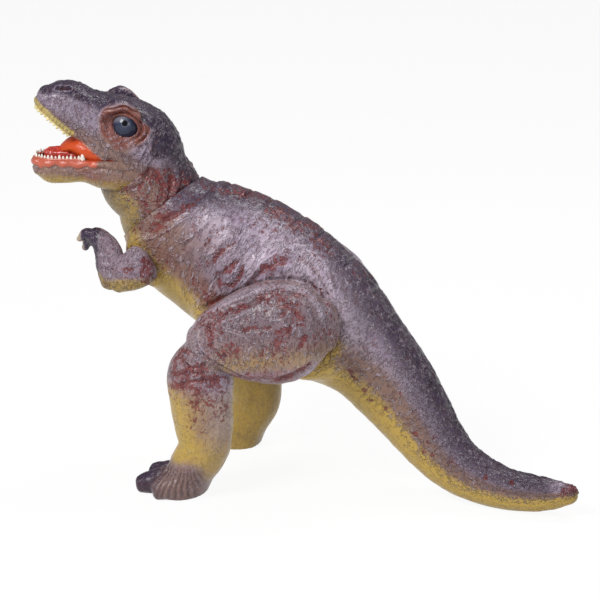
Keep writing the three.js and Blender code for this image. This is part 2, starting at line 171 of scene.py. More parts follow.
def through(rows, steps):
    """A smooth line through rows of numbers: cubic pieces whose slope at each row comes from its
    neighbours, spaced by the square root of the distance between the rows' first three numbers."""
    rows = np.asarray(rows, float)
    ends = np.vstack([2 * rows[0] - rows[1], rows, 2 * rows[-1] - rows[-2]])
    gap = np.sqrt(np.linalg.norm(np.diff(ends[:, :3], axis=0), axis=1))[:, None]
    slope = np.diff(ends, axis=0) / gap
    bend = slope[:-1] + slope[1:] - (ends[2:] - ends[:-2]) / (gap[:-1] + gap[1:])
    t = (np.arange(steps) / steps)[None, :, None]
    here, there = rows[:-1, None], rows[1:, None]
    leaving, arriving = (bend[:-1] * gap[1:-1])[:, None], (bend[1:] * gap[1:-1])[:, None]
    line = (
        (2 * t**3 - 3 * t**2 + 1) * here + (t**3 - 2 * t**2 + t) * leaving
        + (3 * t**2 - 2 * t**3) * there + (t**3 - t**2) * arriving
    )
    return np.vstack([line.reshape(-1, rows.shape[1]), rows[-1:]])


def unit(vectors):
    """Vectors divided by their lengths."""
    return vectors / np.maximum(np.linalg.norm(vectors, axis=-1, keepdims=True), 1e-12)


def ribs(rows, steps, side=RIGHT, lean=0.0):
    """Centres, the three directions and the half sizes of the sections along a form."""
    line = through(rows, steps)
    centre = line[:, :3] * [1, side, 1]
    along = unit(np.gradient(centre, axis=0))
    across = unit(np.array([0.0, 1.0, 0.0]) - along * along[:, 1:2])
    turn = -side * math.radians(lean)
    upward = np.cross(along, across)
    across, upward = (
        across * math.cos(turn) + upward * math.sin(turn),
        upward * math.cos(turn) - across * math.sin(turn),
    )
    return centre, along, across, upward, line[:, 3:5]


def run_of(line):
    """Distance passed along a line at each of its points."""
    return np.concatenate([[0], np.cumsum(np.linalg.norm(np.diff(line, axis=0), axis=1))])


def tube_faces(rows, sides):
    """Four-sided faces of a tube: rows of points, each closed round its sides."""
    row, one = np.meshgrid(np.arange(rows - 1), np.arange(sides), indexing="ij")
    other = (one + 1) % sides
    start, following = row * sides, (row + 1) * sides
    quads = np.stack([start + one, start + other, following + other, following + one], -1)
    return quads.reshape(-1, 4).tolist()


def pointed_faces(rows, sides):
    """Faces of a tube drawn in to one point before its first row and to one after its last."""
    one = np.arange(sides)
    other = (one + 1) % sides
    pole, last = rows * sides, (rows - 1) * sides
    start = np.stack([np.full(sides, pole), other, one], -1)
    finish = np.stack([np.full(sides, pole + 1), last + one, last + other], -1)
    return tube_faces(rows, sides) + start.tolist() + finish.tolist()


def capped_faces(rows, sides):
    """Faces of a tube with a flat face at either end."""
    last = (rows - 1) * sides
    return tube_faces(rows, sides) + [list(range(sides))[::-1], list(range(last, last + sides))]


def turns(count):
    """Angles of so many even steps round a circle."""
    return np.arange(count) / count * 2 * math.pi


def loft(rows, sides=64, square=2.0, back=0.0, front=0.0, side=RIGHT, lean=0.0):
    """A closed skin: superellipse sections (cosine and sine raised to 2 / square) square to a
    smooth path, closed by a quarter-ellipse dome of the given length at either end."""
    centre, along, across, upward, half = ribs(rows, LOFT_STEPS, side, lean)
    dome = np.linspace(0, math.pi / 2, LOFT_DOME_STEPS + 1)[1:-1, None]

    def domed(i, length):
        return (
            centre[i] + along[i] * length * np.sin(dome),
            np.repeat(across[i][None], len(dome), 0), np.repeat(upward[i][None], len(dome), 0),
            half[i] * np.cos(dome),
        )

    def bulge(share):
        return np.sign(share) * np.abs(share) ** (2 / square)

    parts = [[x[::-1] for x in domed(0, -back)]] if back else []
    parts.append([centre, across, upward, half])
    if front:
        parts.append(domed(-1, front))
    mid, wide, high, size = (np.vstack(x) for x in zip(*parts))
    angle = turns(sides)
    skin = (
        mid[:, None]
        + wide[:, None] * (bulge(np.cos(angle))[None, :] * size[:, 1:2])[..., None]
        + high[:, None] * (bulge(np.sin(angle))[None, :] * size[:, 0:1])[..., None]
    )
    tips = np.array([centre[0] - along[0] * back, centre[-1] + along[-1] * front])
    return np.vstack([skin.reshape(-1, 3), tips]), pointed_faces(len(mid), sides)


def lip_line(rows, point, normal, front, grow=0.0):
    """Where a face form meets a plane: on every section, the offset to the plane along the section's
    height gives the half width left of the superellipse there. From the left rear round the front."""
    centre, along, across, upward, half = ribs(rows, LIP_STEPS)
    half = half + grow
    dome = np.linspace(0, math.pi / 2, LIP_DOME_STEPS + 1)[1:-1, None]
    centre = np.vstack([centre, centre[-1] + along[-1] * (front + grow) * np.sin(dome)])
    across, upward = (np.vstack([v, np.repeat(v[-1:], len(dome), 0)]) for v in (across, upward))
    half = np.vstack([half, half[-1] * np.cos(dome)])
    offset = -((centre - point) @ normal) / (upward @ normal)
    share = np.abs(offset) / half[:, 0]
    keel = centre + upward * offset[:, None]
    kept = share < 0.999
    wide = (half[:, 1] * np.maximum(1 - share**FACE_SQUARE, 0) ** (1 / FACE_SQUARE))[kept]
    keel, out = keel[kept], across[kept]
    left, right = keel - out * wide[:, None], keel + out * wide[:, None]
    return np.vstack([left, right[::-1]])


def turned(points, way=1):
    """Points of the face, turned with it about the top of the neck; -1 turns them back."""
    cosine, sine = math.cos(HEAD_TURN), way * math.sin(HEAD_TURN)
    x, y, z = np.moveaxis(points - NECK_TOP, -1, 0)
    return np.stack([x * cosine - y * sine, x * sine + y * cosine, z], -1) + NECK_TOP


def facing(form):
    """A face form's points turned with the face."""
    return turned(form[0]), form[1]


# Meshes

def mesh_of(name, *forms):
    """One mesh in the row frame from forms in millimetres."""
    points, faces, start = [], [], 0
    for form_points, form_faces in forms:
        points.append(form_points)
        faces += [[v + start for v in face] for face in form_faces]
        start += len(form_points)
    mesh = bpy.data.meshes.new(name)
    mesh.from_pydata(((np.vstack(points) - MIDDLE) / 1000).tolist(), [], faces)
    mesh.update()
    return mesh


def trimmed(mesh, *planes):
    """Cuts off what lies ahead of each plane (a point and a direction, in millimetres) and caps it."""
    work = bmesh.new()
    work.from_mesh(mesh)
    for point, normal in planes:
        everything = work.verts[:] + work.edges[:] + work.faces[:]
        bmesh.ops.bisect_plane(
            work, geom=everything, dist=1e-7, plane_co=Vector((np.asarray(point) - MIDDLE) / 1000),
            plane_no=Vector(normal), clear_outer=True,
        )
        bmesh.ops.holes_fill(work, edges=[e for e in work.edges if e.is_boundary], sides=0)
    bmesh.ops.recalc_face_normals(work, faces=work.faces[:])
    work.to_mesh(mesh)
    work.free()


def joined(name, *meshes):
    """One mesh that holds several."""
    work = bmesh.new()
    for part in meshes:
        work.from_mesh(part)
    mesh = bpy.data.meshes.new(name)
    work.to_mesh(mesh)
    work.free()
    return mesh


def outward(mesh):
    """The mesh with its faces turned outwards."""
    work = bmesh.new()
    work.from_mesh(mesh)
    bmesh.ops.recalc_face_normals(work, faces=work.faces[:])
    work.to_mesh(mesh)
    work.free()
    return mesh


def piece(name, mesh):
    """An object at the origin for a mesh in the row frame."""
    made = bpy.data.objects.new(name, mesh)
    scene.collection.objects.link(made)
    return made


def welded(name, mesh, voxel, rounds):
    """Overlapping closed forms made one skin: voxel remesh, then an even smoothing."""
    made = piece(name, mesh)
    remesh = made.modifiers.new("weld", "REMESH")
    remesh.mode = "VOXEL"
    remesh.voxel_size = voxel / 1000
    smooth = made.modifiers.new("ease", "SMOOTH")
    smooth.factor = 0.5
    smooth.iterations = rounds
    graph = bpy.context.evaluated_depsgraph_get()
    final = bpy.data.meshes.new_from_object(made.evaluated_get(graph))
    made.modifiers.clear()
    made.data = final
    final.name = name
    return made


def points_of(made):
    """A piece's points, in millimetres, and its point normals."""
    mesh = made.data
    flat = np.empty(len(mesh.vertices) * 3, np.float32)
    mesh.vertices.foreach_get("co", flat)
    normal = np.empty(len(mesh.vertices) * 3, np.float32)
    mesh.vertex_normals.foreach_get("vector", normal)
    return flat.reshape(-1, 3).astype(float) * 1000 + MIDDLE, normal.reshape(-1, 3).astype(float)


def set_points(made, points):
    """Puts points in millimetres back into a piece, shaded smooth but for wide caps."""
    mesh = made.data
    mesh.vertices.foreach_set("co", ((points - MIDDLE) / 1000).astype(np.float32).ravel())
    corners = np.empty(len(mesh.polygons), np.int32)
    mesh.polygons.foreach_get("loop_total", corners)
    mesh.polygons.foreach_set("use_smooth", corners < 16)
    mesh.update()


def relaxed(made, points, share, rounds):
    """Points drawn towards the mean of their neighbours by a share of the way, round after round."""
    ends = np.empty(len(made.data.edges) * 2, np.int32)
    made.data.edges.foreach_get("vertices", ends)
    one, other = ends.reshape(-1, 2).T
    size = len(points)
    count = np.maximum(np.bincount(ends, minlength=size), 1)

    def around(values):
        return (np.bincount(one, values[other], size) + np.bincount(other, values[one], size)) / count

    for _ in range(rounds):
        mean = np.stack([around(values) for values in points.T], -1)
        points = points + (mean - points) * share[:, None]
    return points


def sideways_of(normal, rim, axis):
    """Normals, with those at a cut rim laid into the plane of the cut."""
    flat = unit(normal - (normal @ axis)[:, None] * axis)
    return np.where((np.abs(rim) < 0.3)[:, None], flat, normal)


# The paint layers in the order that the hide reads them, and the most that the red wash may cover
LAYERS = ("plum", "ochre", "blood", "taupe", "rust", "lining", "coral", "bone", "relief", "calm")
WASH_MOST = 0.7


def store(mesh, name, values):
    """Keeps one number for every point of a mesh."""
    held = mesh.attributes.new(name, "FLOAT", "POINT")
    held.data.foreach_set("value", values.astype(np.float32))


def coat(made, lie, **layers):
    """Stores each paint layer, a share from 0 to 1 for every point, the relief, from -1 to 1, which the
    hide turns into painted shade, partly a dark wash, where it is low and a painted highlight where it
    is high, and the points' places on the unbent form, in metres, for patterns that follow it."""
    for name in LAYERS:
        share = np.broadcast_to(layers.get(name, 0.0), len(made.data.vertices))
        store(made.data, name, np.clip(share, -1 if name == "relief" else 0, 1))
    held = made.data.attributes.new("lie", "FLOAT_VECTOR", "POINT")
    held.data.foreach_set("vector", (lie / 1000).astype(np.float32).ravel())


# Fields over points

# Large odd numbers that scatter the bits of a lattice place, and the bits that are kept
HASH_AXES = np.array([73856093, 19349663, 83492791])
HASH_SEED = 40503
HASH_FIRST = 2654435761
HASH_SECOND = 2246822519
WORD = 0xFFFFFFFF
HALF_WORD = 0xFFFF

# Points that are looked up at a time
BATCH = 20000


def ease(value, low, high):
    """0 below low, 1 above high, rising by 3t^2 - 2t^3 between; low above high turns it round."""
    t = np.clip((value - low) / (high - low), 0, 1)
    return t * t * (3 - 2 * t)


def grain(points, size, seed):
    """Smooth noise from -1 to 1 with lumps of the given size: a hashed value at each corner of a
    cubic lattice, blended by a fifth-degree fade."""
    cell = np.floor(points / size).astype(np.int64)
    t = points / size - cell
    t = t * t * t * (t * (t * 6 - 15) + 10)
    total = np.zeros(len(points))
    for corner in range(8):
        shift = np.array([corner & 1, corner >> 1 & 1, corner >> 2 & 1])
        at = cell + shift
        key = np.bitwise_xor.reduce(at * HASH_AXES, axis=1) ^ (seed * HASH_SEED)
        key = (key & WORD) * HASH_FIRST & WORD
        key = ((key ^ key >> 15) * HASH_SECOND) & WORD
        value = ((key ^ key >> 13) & HALF_WORD) / (HALF_WORD / 2) - 1
        total += value * np.prod(np.where(shift, t, 1 - t), axis=1)
    return total


def from_line(points, line):
    """Distance from points to a line of points, and the share of the line passed, in as many
    dimensions as both have."""
    best = np.full(len(points), np.inf)
    share = np.zeros(len(points))
    count = len(line) - 1
    for k in range(count):
        start, step = line[k], line[k + 1] - line[k]
        part = np.clip(((points - start) @ step) / max(step @ step, 1e-9), 0, 1)
        away = np.linalg.norm(points - start - part[:, None] * step, axis=1)
        closer = away < best
        best = np.where(closer, away, best)
        share = np.where(closer, (k + part) / count, share)
    return best, share


def drawn(points, lines, spread=1.0):
    """Sum over drawn lines, seen from the side: depth times a bell across the line's width, fading
    towards its ends. A line is (depth, width, points as x, z)."""
    total = np.zeros(len(points))
    flat = points[:, [0, 2]]
    for depth, width, line in lines:
        bent = through(line, 6)
        reach = width * spread * 3
        low, high = bent.min(0) - reach, bent.max(0) + reach
        near = np.all((flat > low) & (flat < high), axis=1)
        if not near.any():
            continue
        away, share = from_line(flat[near], bent)
        fade = np.minimum(1, 5 * np.minimum(share + 0.05, 1.05 - share))
        total[near] += depth * np.exp(-(away / (width * spread)) ** 2) * fade
    return total


def along_form(points, rows):
    """Place of points along a form: distance along its path, and their offsets across and upwards
    as shares of the section's half width and half height there."""
    centre, along, across, upward, half = ribs(rows, PATH_STEPS)
    run = run_of(centre)
    nearest = np.empty(len(points), int)
    for part in np.array_split(np.arange(len(points)), 1 + len(points) // BATCH):
        nearest[part] = np.argmin(((points[part, None] - centre[None]) ** 2).sum(2), axis=1)
    offset = points - centre[nearest]
    return (
        run[nearest] + (offset * along[nearest]).sum(1),
        (offset * across[nearest]).sum(1) / half[nearest, 1],
        (offset * upward[nearest]).sum(1) / half[nearest, 0],
    )


def bell(value, middle, width):
    """A bell: e to the minus square of the distance from the middle, counted in widths."""
    return np.exp(-(((value - middle) / width) ** 2))


def lumps(points, size, seed):
    """Soft lumps from -1 to 1 of the given size, with half as large ones on them."""
    return grain(points, size, seed) * 0.75 + grain(points, size / 2, seed + 1) * 0.45


def stroked(points, strokes):
    """Height and red wash of strokes (depth, width, share of wash, points as x, z) seen from the side."""
    height = drawn(points, [(depth, width, line) for depth, width, wash, line in strokes])
    red = drawn(points, [(wash, width, line) for depth, width, wash, line in strokes if wash], 1.6)
    return height, red * (0.35 + 0.6 * ease(grain(points, 6.5, 99), -0.35, 0.4))


def flecked(points):
    """Thin red flecks in drifts over a whole piece."""
    return 0.22 + 0.2 * ease(grain(points, 15, 98), -0.3, 0.5)


def dabs(points, places, size):
    """Red wash dabbed round places given as x, z."""
    flat = points[:, [0, 2]]
    total = np.zeros(len(points))
    for place in places:
        total = np.maximum(total, bell(np.linalg.norm(flat - np.array(place, float), axis=1), 0, size))
    return total


# Materials

class Tone:
    """One output in a material's node tree. Sums on tones add Math nodes; make adds any other node."""

    def __init__(self, tree, socket=None):
        self.tree, self.socket = tree, socket

    def make(self, kind, settings=None, values=None, out=0):
        """A node of that kind: its settings are set first, then its sockets get values or links."""
        node = self.tree.nodes.new(kind)
        for name, value in (settings or {}).items():
            setattr(node, name, value)
        for name, value in (values or {}).items():
            if isinstance(value, Tone):
                self.tree.links.new(value.socket, node.inputs[name])
            else:
                node.inputs[name].default_value = value
        return Tone(self.tree, node.outputs[out])

    def sum(self, operation, *terms):
        """A Math node's result."""
        return self.make("ShaderNodeMath", {"operation": operation}, dict(enumerate(terms)))

    def __add__(self, other):
        return self.sum("ADD", self, other)

    def __radd__(self, other):
        return self.sum("ADD", other, self)

    def __sub__(self, other):
        return self.sum("SUBTRACT", self, other)

    def __rsub__(self, other):
        return self.sum("SUBTRACT", other, self)

    def __mul__(self, other):
        return self.sum("MULTIPLY", self, other)

    def rise(self, low, high):
        """0 below low, 1 above high, smooth between."""
        return self.make(
            "ShaderNodeMapRange", {"interpolation_type": "SMOOTHSTEP"},
            {"Value": self, "From Min": low, "From Max": high},
        )

    def over(self, share, colour):
        """This colour with another laid over it by a share."""
        return self.make("ShaderNodeMix", {"data_type": "RGBA"}, {0: share, 6: self, 7: (*colour, 1)}, 2)

    def blend(self, low, high):
        """A colour between two, this share of the way."""
        values = {0: self, 6: (*low, 1), 7: (*high, 1)}
        return self.make("ShaderNodeMix", {"data_type": "RGBA"}, values, 2)

    def layer(self, name):
        """A paint layer stored on the piece's points."""
        return self.make("ShaderNodeAttribute", {"attribute_name": name}, out="Fac")

    def noise(self, place, scale, detail=3.0, rough=0.5, stretch=None):
        """Noise on Object coordinates, so many lumps a metre, stretched along the axes."""
        if stretch:
            place = self.make("ShaderNodeMapping", values={"Vector": place, "Scale": stretch})
        return self.make(
            "ShaderNodeTexNoise", {"noise_dimensions": "3D"},
            {"Vector": place, "Scale": scale, "Detail": detail, "Roughness": rough}, "Fac",
        )


def material(name):
    """A new material, with the tone that starts its nodes, its place on the surface and its shader."""
    made = bpy.data.materials.new(name)
    made.use_nodes = True
    tree = made.node_tree
    shader = tree.nodes["Principled BSDF"]
    start = Tone(tree)
    place = start.make("ShaderNodeTexCoord", out="Object")
    return made, start, place, shader


def finish_with(start, shader, **links):
    """Links tones to the shader's sockets and sets its constants."""
    for name, value in links.items():
        socket = shader.inputs[name.replace("_", " ").title().replace("Ior", "IOR")]
        if isinstance(value, Tone):
            start.tree.links.new(value.socket, socket)
        else:
            socket.default_value = value


# Paints, as linear colour

LILAC = (0.185, 0.129, 0.188)
PALE_LILAC = (0.45, 0.375, 0.455)
TAUPE = (0.195, 0.115, 0.090)
PLUM = (0.026, 0.014, 0.035)
UMBER = (0.100, 0.040, 0.042)
OCHRE = (0.40, 0.265, 0.055)
BLOOD = (0.150, 0.026, 0.026)
RUST = (0.175, 0.056, 0.042)
ORANGE = (0.46, 0.055, 0.009)
CORAL = (0.42, 0.095, 0.058)
BONE = (0.41, 0.345, 0.135)
TONGUE_RED = (0.54, 0.050, 0.030)
TONGUE_DEEP = (0.30, 0.020, 0.014)
TOOTH = (0.74, 0.71, 0.66)
TOOTH_DEEP = (0.55, 0.48, 0.42)
YELLOW_TOOTH = (0.74, 0.68, 0.40)
YELLOW_TOOTH_DEEP = (0.52, 0.44, 0.18)
YELLOW_GUM = (0.50, 0.40, 0.15)
SLATE = (0.030, 0.037, 0.068)
DEEP_SLATE = (0.014, 0.018, 0.040)
EYE_PAINTED_HIGHLIGHT = (0.24, 0.22, 0.27)
PUPIL_RING = (0.16, 0.16, 0.19)
PUPIL = (0.003, 0.003, 0.005)


def vinyl_hide():
    """The airbrushed skin: lilac ground, tan flanks, plum back, ochre belly and a red wash that
    keeps to clumps and specks, over short wrinkles with a painted highlight on their crests and
    beds darkened partly by a dark wash and partly by painted shade, in a satin gloss."""
    made, start, place, shader = material("vinyl_hide")
    lie = start.make("ShaderNodeAttribute", {"attribute_name": "lie"}, out="Vector")
    plum, ochre, blood, taupe, rust, lining, coral, bone, relief, calm = map(start.layer, LAYERS)
    painted = lining + coral + bone
    lively = (1 - painted.sum("MINIMUM", painted, 1.0)) * (1 - calm)
    cloud = start.noise(place, 48, 4)
    speck = start.noise(place, 420, 3, 0.6)
    dust = start.noise(place, 900, 2, 0.6)
    crest = start.noise(lie, 240, 2, 0.5, (1.0, 0.85, 0.4)) - 0.5
    crest = (1 - crest.sum("ABSOLUTE", crest).rise(0.0, 0.085)) * start.noise(lie, 130, 2).rise(0.42, 0.58)
    bed = start.noise(lie, 330, 2, 0.55, (1.0, 0.9, 0.4)).rise(0.54, 0.62)
    clump = start.noise(place, 250, 2, 0.6)
    edge = (cloud - 0.5) * 0.7 + (speck - 0.5) * 0.7
    colour = (cloud * 0.6 + speck * 0.5).rise(0.34, 0.78).blend(LILAC, PALE_LILAC)
    colour = colour.over((taupe + edge * 0.4).rise(0.1, 0.9), TAUPE)
    colour = colour.over((rust + edge * 0.6).rise(0.2, 0.8), RUST)
    colour = colour.over((ochre + edge * 0.25).rise(0.1, 0.9), OCHRE)
    colour = colour.over((plum + edge * 0.8).rise(0.05, 1.0), PLUM)
    # Dark umber in the wrinkle beds and sunken relief: partly the dark wash the toy has in its hollows,
    # partly painted shade
    wash_and_painted_shade = bed * 0.42 + (relief * -1).rise(0.2, 0.9) * 0.5
    colour = colour.over(wash_and_painted_shade * lively * (1 - ochre * 0.5), UMBER)
    # Painted highlight: pale lilac on the wrinkle crests and on raised relief, standing in for light
    # caught on the ridges
    raised = crest * 0.6 + relief.rise(0.4, 1.0) * 0.45
    colour = colour.over(raised * lively * (1 - ochre * 0.6) * (1 - plum * 0.35), PALE_LILAC)
    red = (blood + (clump - 0.5) * 1.2 + (speck - 0.5) * 1.2).rise(0.46, 0.70)
    colour = colour.over(red * 0.85, BLOOD)
    colour = colour.over((coral + edge * 0.3).rise(0.3, 0.7), CORAL)
    colour = colour.over((lining + edge * 0.3).rise(0.3, 0.7), ORANGE)
    colour = colour.over((bone + edge * 0.2).rise(0.3, 0.7), BONE)
    height = (crest - bed * 0.6) * (lively * 1.1 + 0.05) + speck * 0.3 + dust * 0.12 - red * 0.3
    bump = start.make("ShaderNodeBump", values={"Strength": 1.0, "Distance": 0.0013, "Height": height})
    finish_with(
        start, shader, base_color=colour, normal=bump, roughness=0.31 + (dust - 0.5) * 0.2,
        coat_weight=0.07, coat_roughness=0.15, specular_ior_level=0.33,
    )
    return made


HIDE = vinyl_hide()


def dress(made, body, nodes):
    """Skin paint, body and replaced solids of a finished piece."""
    made.data.materials.append(HIDE)
    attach(made, body)
    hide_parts(*nodes)


# Torso

THIGH_MIDDLE = np.array([84.0, 147.0])
THIGH_REACH = np.array([74.0, 58.0])
THIGH_TILT = math.radians(14)

# Strokes here and below: depth, width, share of red wash, and points as x, z seen from the side
FLANK_STROKES = [
    (1.8, 1.1, 0, [(-33, 212), (-23, 216), (-11, 223), (3, 232), (17, 237)]),
    (-1.7, 1.8, 0.5, [(-33, 217), (-23, 224), (-13, 231), (-1, 239), (6, 244), (13, 249)]),
    (1.8, 1.1, 0, [(1, 210), (7, 216), (14, 222), (23, 231), (32, 236)]),
    (-1.2, 1.6, 0.35, [(3, 203), (5, 211), (12, 216)]),
    (-1.4, 1.6, 0.4, [(21, 209), (26, 216), (29, 223), (35, 226), (37, 231)]),
    (1.9, 1.1, 0, [(21, 203), (30, 207), (37, 215), (41, 220)]),
    (-1.6, 1.8, 0.5, [(25, 190), (29, 198), (36, 206), (42, 212), (49, 215)]),
    (-1.8, 2.2, 0.55, [(33, 178), (36, 188), (43, 193), (50, 200), (54, 201)]),
    (-1.5, 2.0, 0.5, [(55, 200), (56, 195), (53, 185), (49, 180), (41, 178)]),
    (1.5, 1.1, 0, [(40, 184), (46, 189), (51, 193)]),
    (-1.0, 1.5, 0.3, [(-16, 186), (-13, 199)]),
    (-1.0, 1.5, 0.3, [(-4, 192), (3, 196), (5, 193)]),
    (1.7, 1.1, 0, [(58, 182), (66, 191), (72, 200), (80, 206), (94, 212), (109, 212), (121, 205)]),
    (-1.6, 2.2, 0.6, [(62, 180), (70, 190), (78, 197), (88, 202), (97, 204)]),
    (-1.4, 1.6, 0, [(97, 205), (110, 203), (121, 195), (131, 181), (137, 166)]),
    (1.5, 1.1, 0, [(100, 207), (112, 206), (124, 198), (134, 184), (140, 168)]),
    (-1.1, 1.5, 0, [(94, 214), (110, 213), (122, 207), (131, 198), (139, 186)]),
    (-1.2, 1.8, 0.35, [(143, 144), (132, 129), (121, 116), (110, 107)]),
    (-1.6, 1.9, 0.25, [(15, 153), (26, 160), (36, 166), (45, 171), (53, 175), (67, 182), (83, 187)]),
    (-1.6, 1.9, 0.15, [(78, 186), (95, 189), (106, 189), (116, 186), (125, 179), (131, 168)]),
]
FLANK_DABS = [
    (107, 204), (84, 200), (76, 197), (46, 190), (40, 180), (12, 183), (22, 168), (38, 166), (30, 158),
]
GROIN = (0.7, 7.0, [(104, 102), (125, 116), (137, 128), (145, 140)])
TAIL_DABS = [
    (222, 56), (217, 50), (213, 42), (222, 40), (165, 83), (178, 76), (191, 90), (153, 103), (149, 108),
    (340, 23), (335, 21), (160, 92), (205, 58), (240, 38), (268, 26), (290, 24),
]
SEAT_REST = 0.4
SHOULDER_SWELL = np.array([-34.0, 192.0])
TAIL_RUN = (170, 280)
LIE_WIDE, LIE_HIGH = 45, 55
PLATE_STEP = 21.0
PLATE_HEIGHT = 2.1

# Along the trunk: the heights where the plum back begins and is full, and where the ochre belly ends
TONE_RUN = [0, 50, 100, 170, 230, 300, 380]
BACK_BEGINS = [-0.25, 0.4, 0.8, 0.82, 0.4, -0.2, -0.3, -0.35]
BACK_FULL = [0.75, 0.95, 1.03, 1.03, 1.04, 1.04, 1.0, 0.8]
BELLY_ENDS = [-0.45, -0.6, -0.72, -0.8, -0.5, -0.45, -0.42, -0.25]


def oval(points):
    """Distance from the thigh's middle seen from the side, 1 on an oval round the thigh."""
    on, up = (points[:, [0, 2]] - THIGH_MIDDLE).T
    cosine, sine = math.cos(THIGH_TILT), math.sin(THIGH_TILT)
    tilted = np.stack([on * cosine + up * sine, up * cosine - on * sine], -1)
    return np.linalg.norm(tilted / THIGH_REACH, axis=1)


def swollen(points, share, seat):
    """Points of the flanks pushed out by a share of their way to the plane of a joint's seat."""
    out = share * np.maximum(seat - SEAT_REST - np.abs(points[:, 1]), 0)
    return points + np.sign(points) * [0, 1, 0] * out[:, None]


def spine_plates(run, wide, high):
    """Heights of the plates along the spine, parted by notches at uneven steps, lower on the tail."""
    tile = run / PLATE_STEP + 0.15 * np.sin(run / 13)
    notch = np.abs(tile - np.round(tile))
    plates = (PLATE_HEIGHT - 1.9 * bell(notch, 0, 0.07)) * ease(np.abs(wide), 0.45, 0.15) * (high > 0)
    return plates * ease(run, 22, 34) * (1 - 0.5 * ease(run, *TAIL_RUN))


def make_torso():
    """Trunk and tail: one loft, swollen flat under the thighs and shoulders, with notched plates
    along the spine, pebbles beside them, upright wrinkles on the flanks and drawn creases."""
    mesh = mesh_of("torso_hide", loft(TRUNK, square=TRUNK_SQUARE, front=TAIL_TIP))
    trimmed(mesh, GROUND)
    made = welded("torso_hide", mesh, voxel=1.1, rounds=5)
    trimmed(made.data, (COLLAR, COLLAR_AXIS))
    points, normal = points_of(made)
    rim = (points - COLLAR) @ COLLAR_AXIS
    normal = sideways_of(normal, rim, COLLAR_AXIS)
    run, wide, high = along_form(points, TRUNK)
    lie = np.stack([run, wide * LIE_WIDE, high * LIE_HIGH], -1)
    flank = np.abs(points[:, 1])
    thigh = ease(oval(points), 1.15, 0.85) * ease(flank, 22, 38) * ease(points[:, 2], 70, 100)
    beside = np.linalg.norm(points[:, [0, 2]] - SHOULDER_SWELL, axis=1)
    shoulder = ease(beside, 30, 18) * ease(flank, 22, 36)
    points = swollen(swollen(points, thigh, HIP_SEAT), shoulder, SHOULDER_SEAT)
    sideways = ease(np.abs(normal[:, 1]), 0.15, 0.5)
    strokes, red = (field * sideways for field in stroked(points, FLANK_STROKES))
    end = run.max()
    tones = (BACK_BEGINS, BACK_FULL, BELLY_ENDS)
    begins, full, belly = (np.interp(run, [*TONE_RUN, end], tone) for tone in tones)
    plum = ease(high, begins, full)
    tail = ease(run, *TAIL_RUN)
    pebbles = lumps(lie * [1, 1, 0.7], 5.0, 3) * 0.75 * plum
    wrinkle = lumps(lie * [1, 1, 0.42], 6.0, 5) * 0.5 * (1 - plum) * ease(high, belly, belly + 0.5)
    wrinkle += lumps(points, 8.0, 9) * 0.45 * ease(high, belly + 0.2, belly - 0.2) * tail
    floor = ease(points[:, 2], FLOOR + 0.5, FLOOR + 4)
    roll = ease(rim, -5, 0) ** 2 * 0.7 + ease(rim, -22, 0) * 4.1 * ease(high, -0.3, -0.9)
    worked = strokes + spine_plates(run, wide, high) + pebbles + wrinkle
    points = points + normal * (worked * floor - roll)[:, None]
    points[:, 2] = np.maximum(points[:, 2], FLOOR)
    set_points(made, points)

    chest = ease(run, 120, 40) * ease(high, 0.8, 0.2)
    under = ease(high, belly + 0.75, belly + 0.1)
    yoke = ease(rim, -30, -2) * ease(high, 0.9, 0.0)
    tip = ease(run, end - 30, end - 8)
    middle = bell(high, 0.0, 0.3) * ease(run, 40, 70) * ease(run, 240, 190)
    # A broad painted highlight along the upper flank, laid on as pale relief
    upper = bell(high, 0.55, 0.22) * ease(run, 40, 80) * ease(run, 240, 190)
    wash = red + flecked(points) * (1 - 0.5 * tail) + yoke * 0.2
    wash += 0.25 * dabs(points, FLANK_DABS, 6) * sideways + 0.6 * dabs(points, TAIL_DABS, 3.2)
    wash += 0.34 * ease(run, end - 16, end - 2) * ease(high, -0.4, 0.2)
    wash += 0.2 * ease(high, 0.9, 0.98) * ease(run, 230, 120)
    ochre = ease(high, belly + 0.42 + 0.2 * tail, belly - 0.08) + under * 0.18
    coat(
        made, lie,
        plum=plum * 0.82 * (1 - 0.8 * tip) + yoke * 0.2 + middle * 0.4 + under * 0.22 * (1 - tail),
        ochre=ochre + drawn(points, [GROIN]) * sideways,
        taupe=under * 1.1 + chest * 0.6 + tail * ease(high, 0.7, 0.0) + 0.18,
        rust=0.6 * ease(high, belly + 0.85, belly + 0.42) * (1 - tail) * (1 - 0.4 * chest),
        blood=np.minimum(wash, WASH_MOST),
        relief=strokes * 0.6 + wrinkle * 0.6 + pebbles * 0.5 + upper * 0.3,
        calm=ease(high, belly + 0.2, belly - 0.1) * 0.75 + chest * 0.3,
    )
    dress(made, "torso", ("torso_skin", "body_stuffing"))


make_torso()

# Head

NOSTRIL = np.array([-115.0, 16.0, 339.0])
NOSTRIL_LINE = np.array([[5.0, 0.0, -0.6], [-5.0, 0.0, 0.6]])
MOUTH_CORNER = np.array([-85.0, 0.0, 284.0])
LID_LONG = 11.1
LID_TALL = 8.9
LID_ROLL, SECOND_ROLL, THIRD_ROLL = 1.4, 6.0, 10.5
LID_FURROW, SECOND_FURROW = 3.6, 8.5
NECK_STROKES = [
    (-1.5, 1.8, 0.4, [(-20, 280), (-16, 270), (-14, 262), (-14, 252), (-15, 243)]),
    (-1.2, 1.6, 0.35, [(-31, 275), (-25, 267), (-19, 254), (-21, 242)]),
    (1.2, 1.6, 0, [(-17, 276), (-11, 266), (-9, 256), (-11, 245)]),
    (-1.2, 1.6, 0.25, [(-9, 268), (-6, 258), (-9, 247), (-14, 236)]),
    (-1.2, 1.6, 0.3, [(-36, 246), (-30, 238), (-28, 228)]),
]
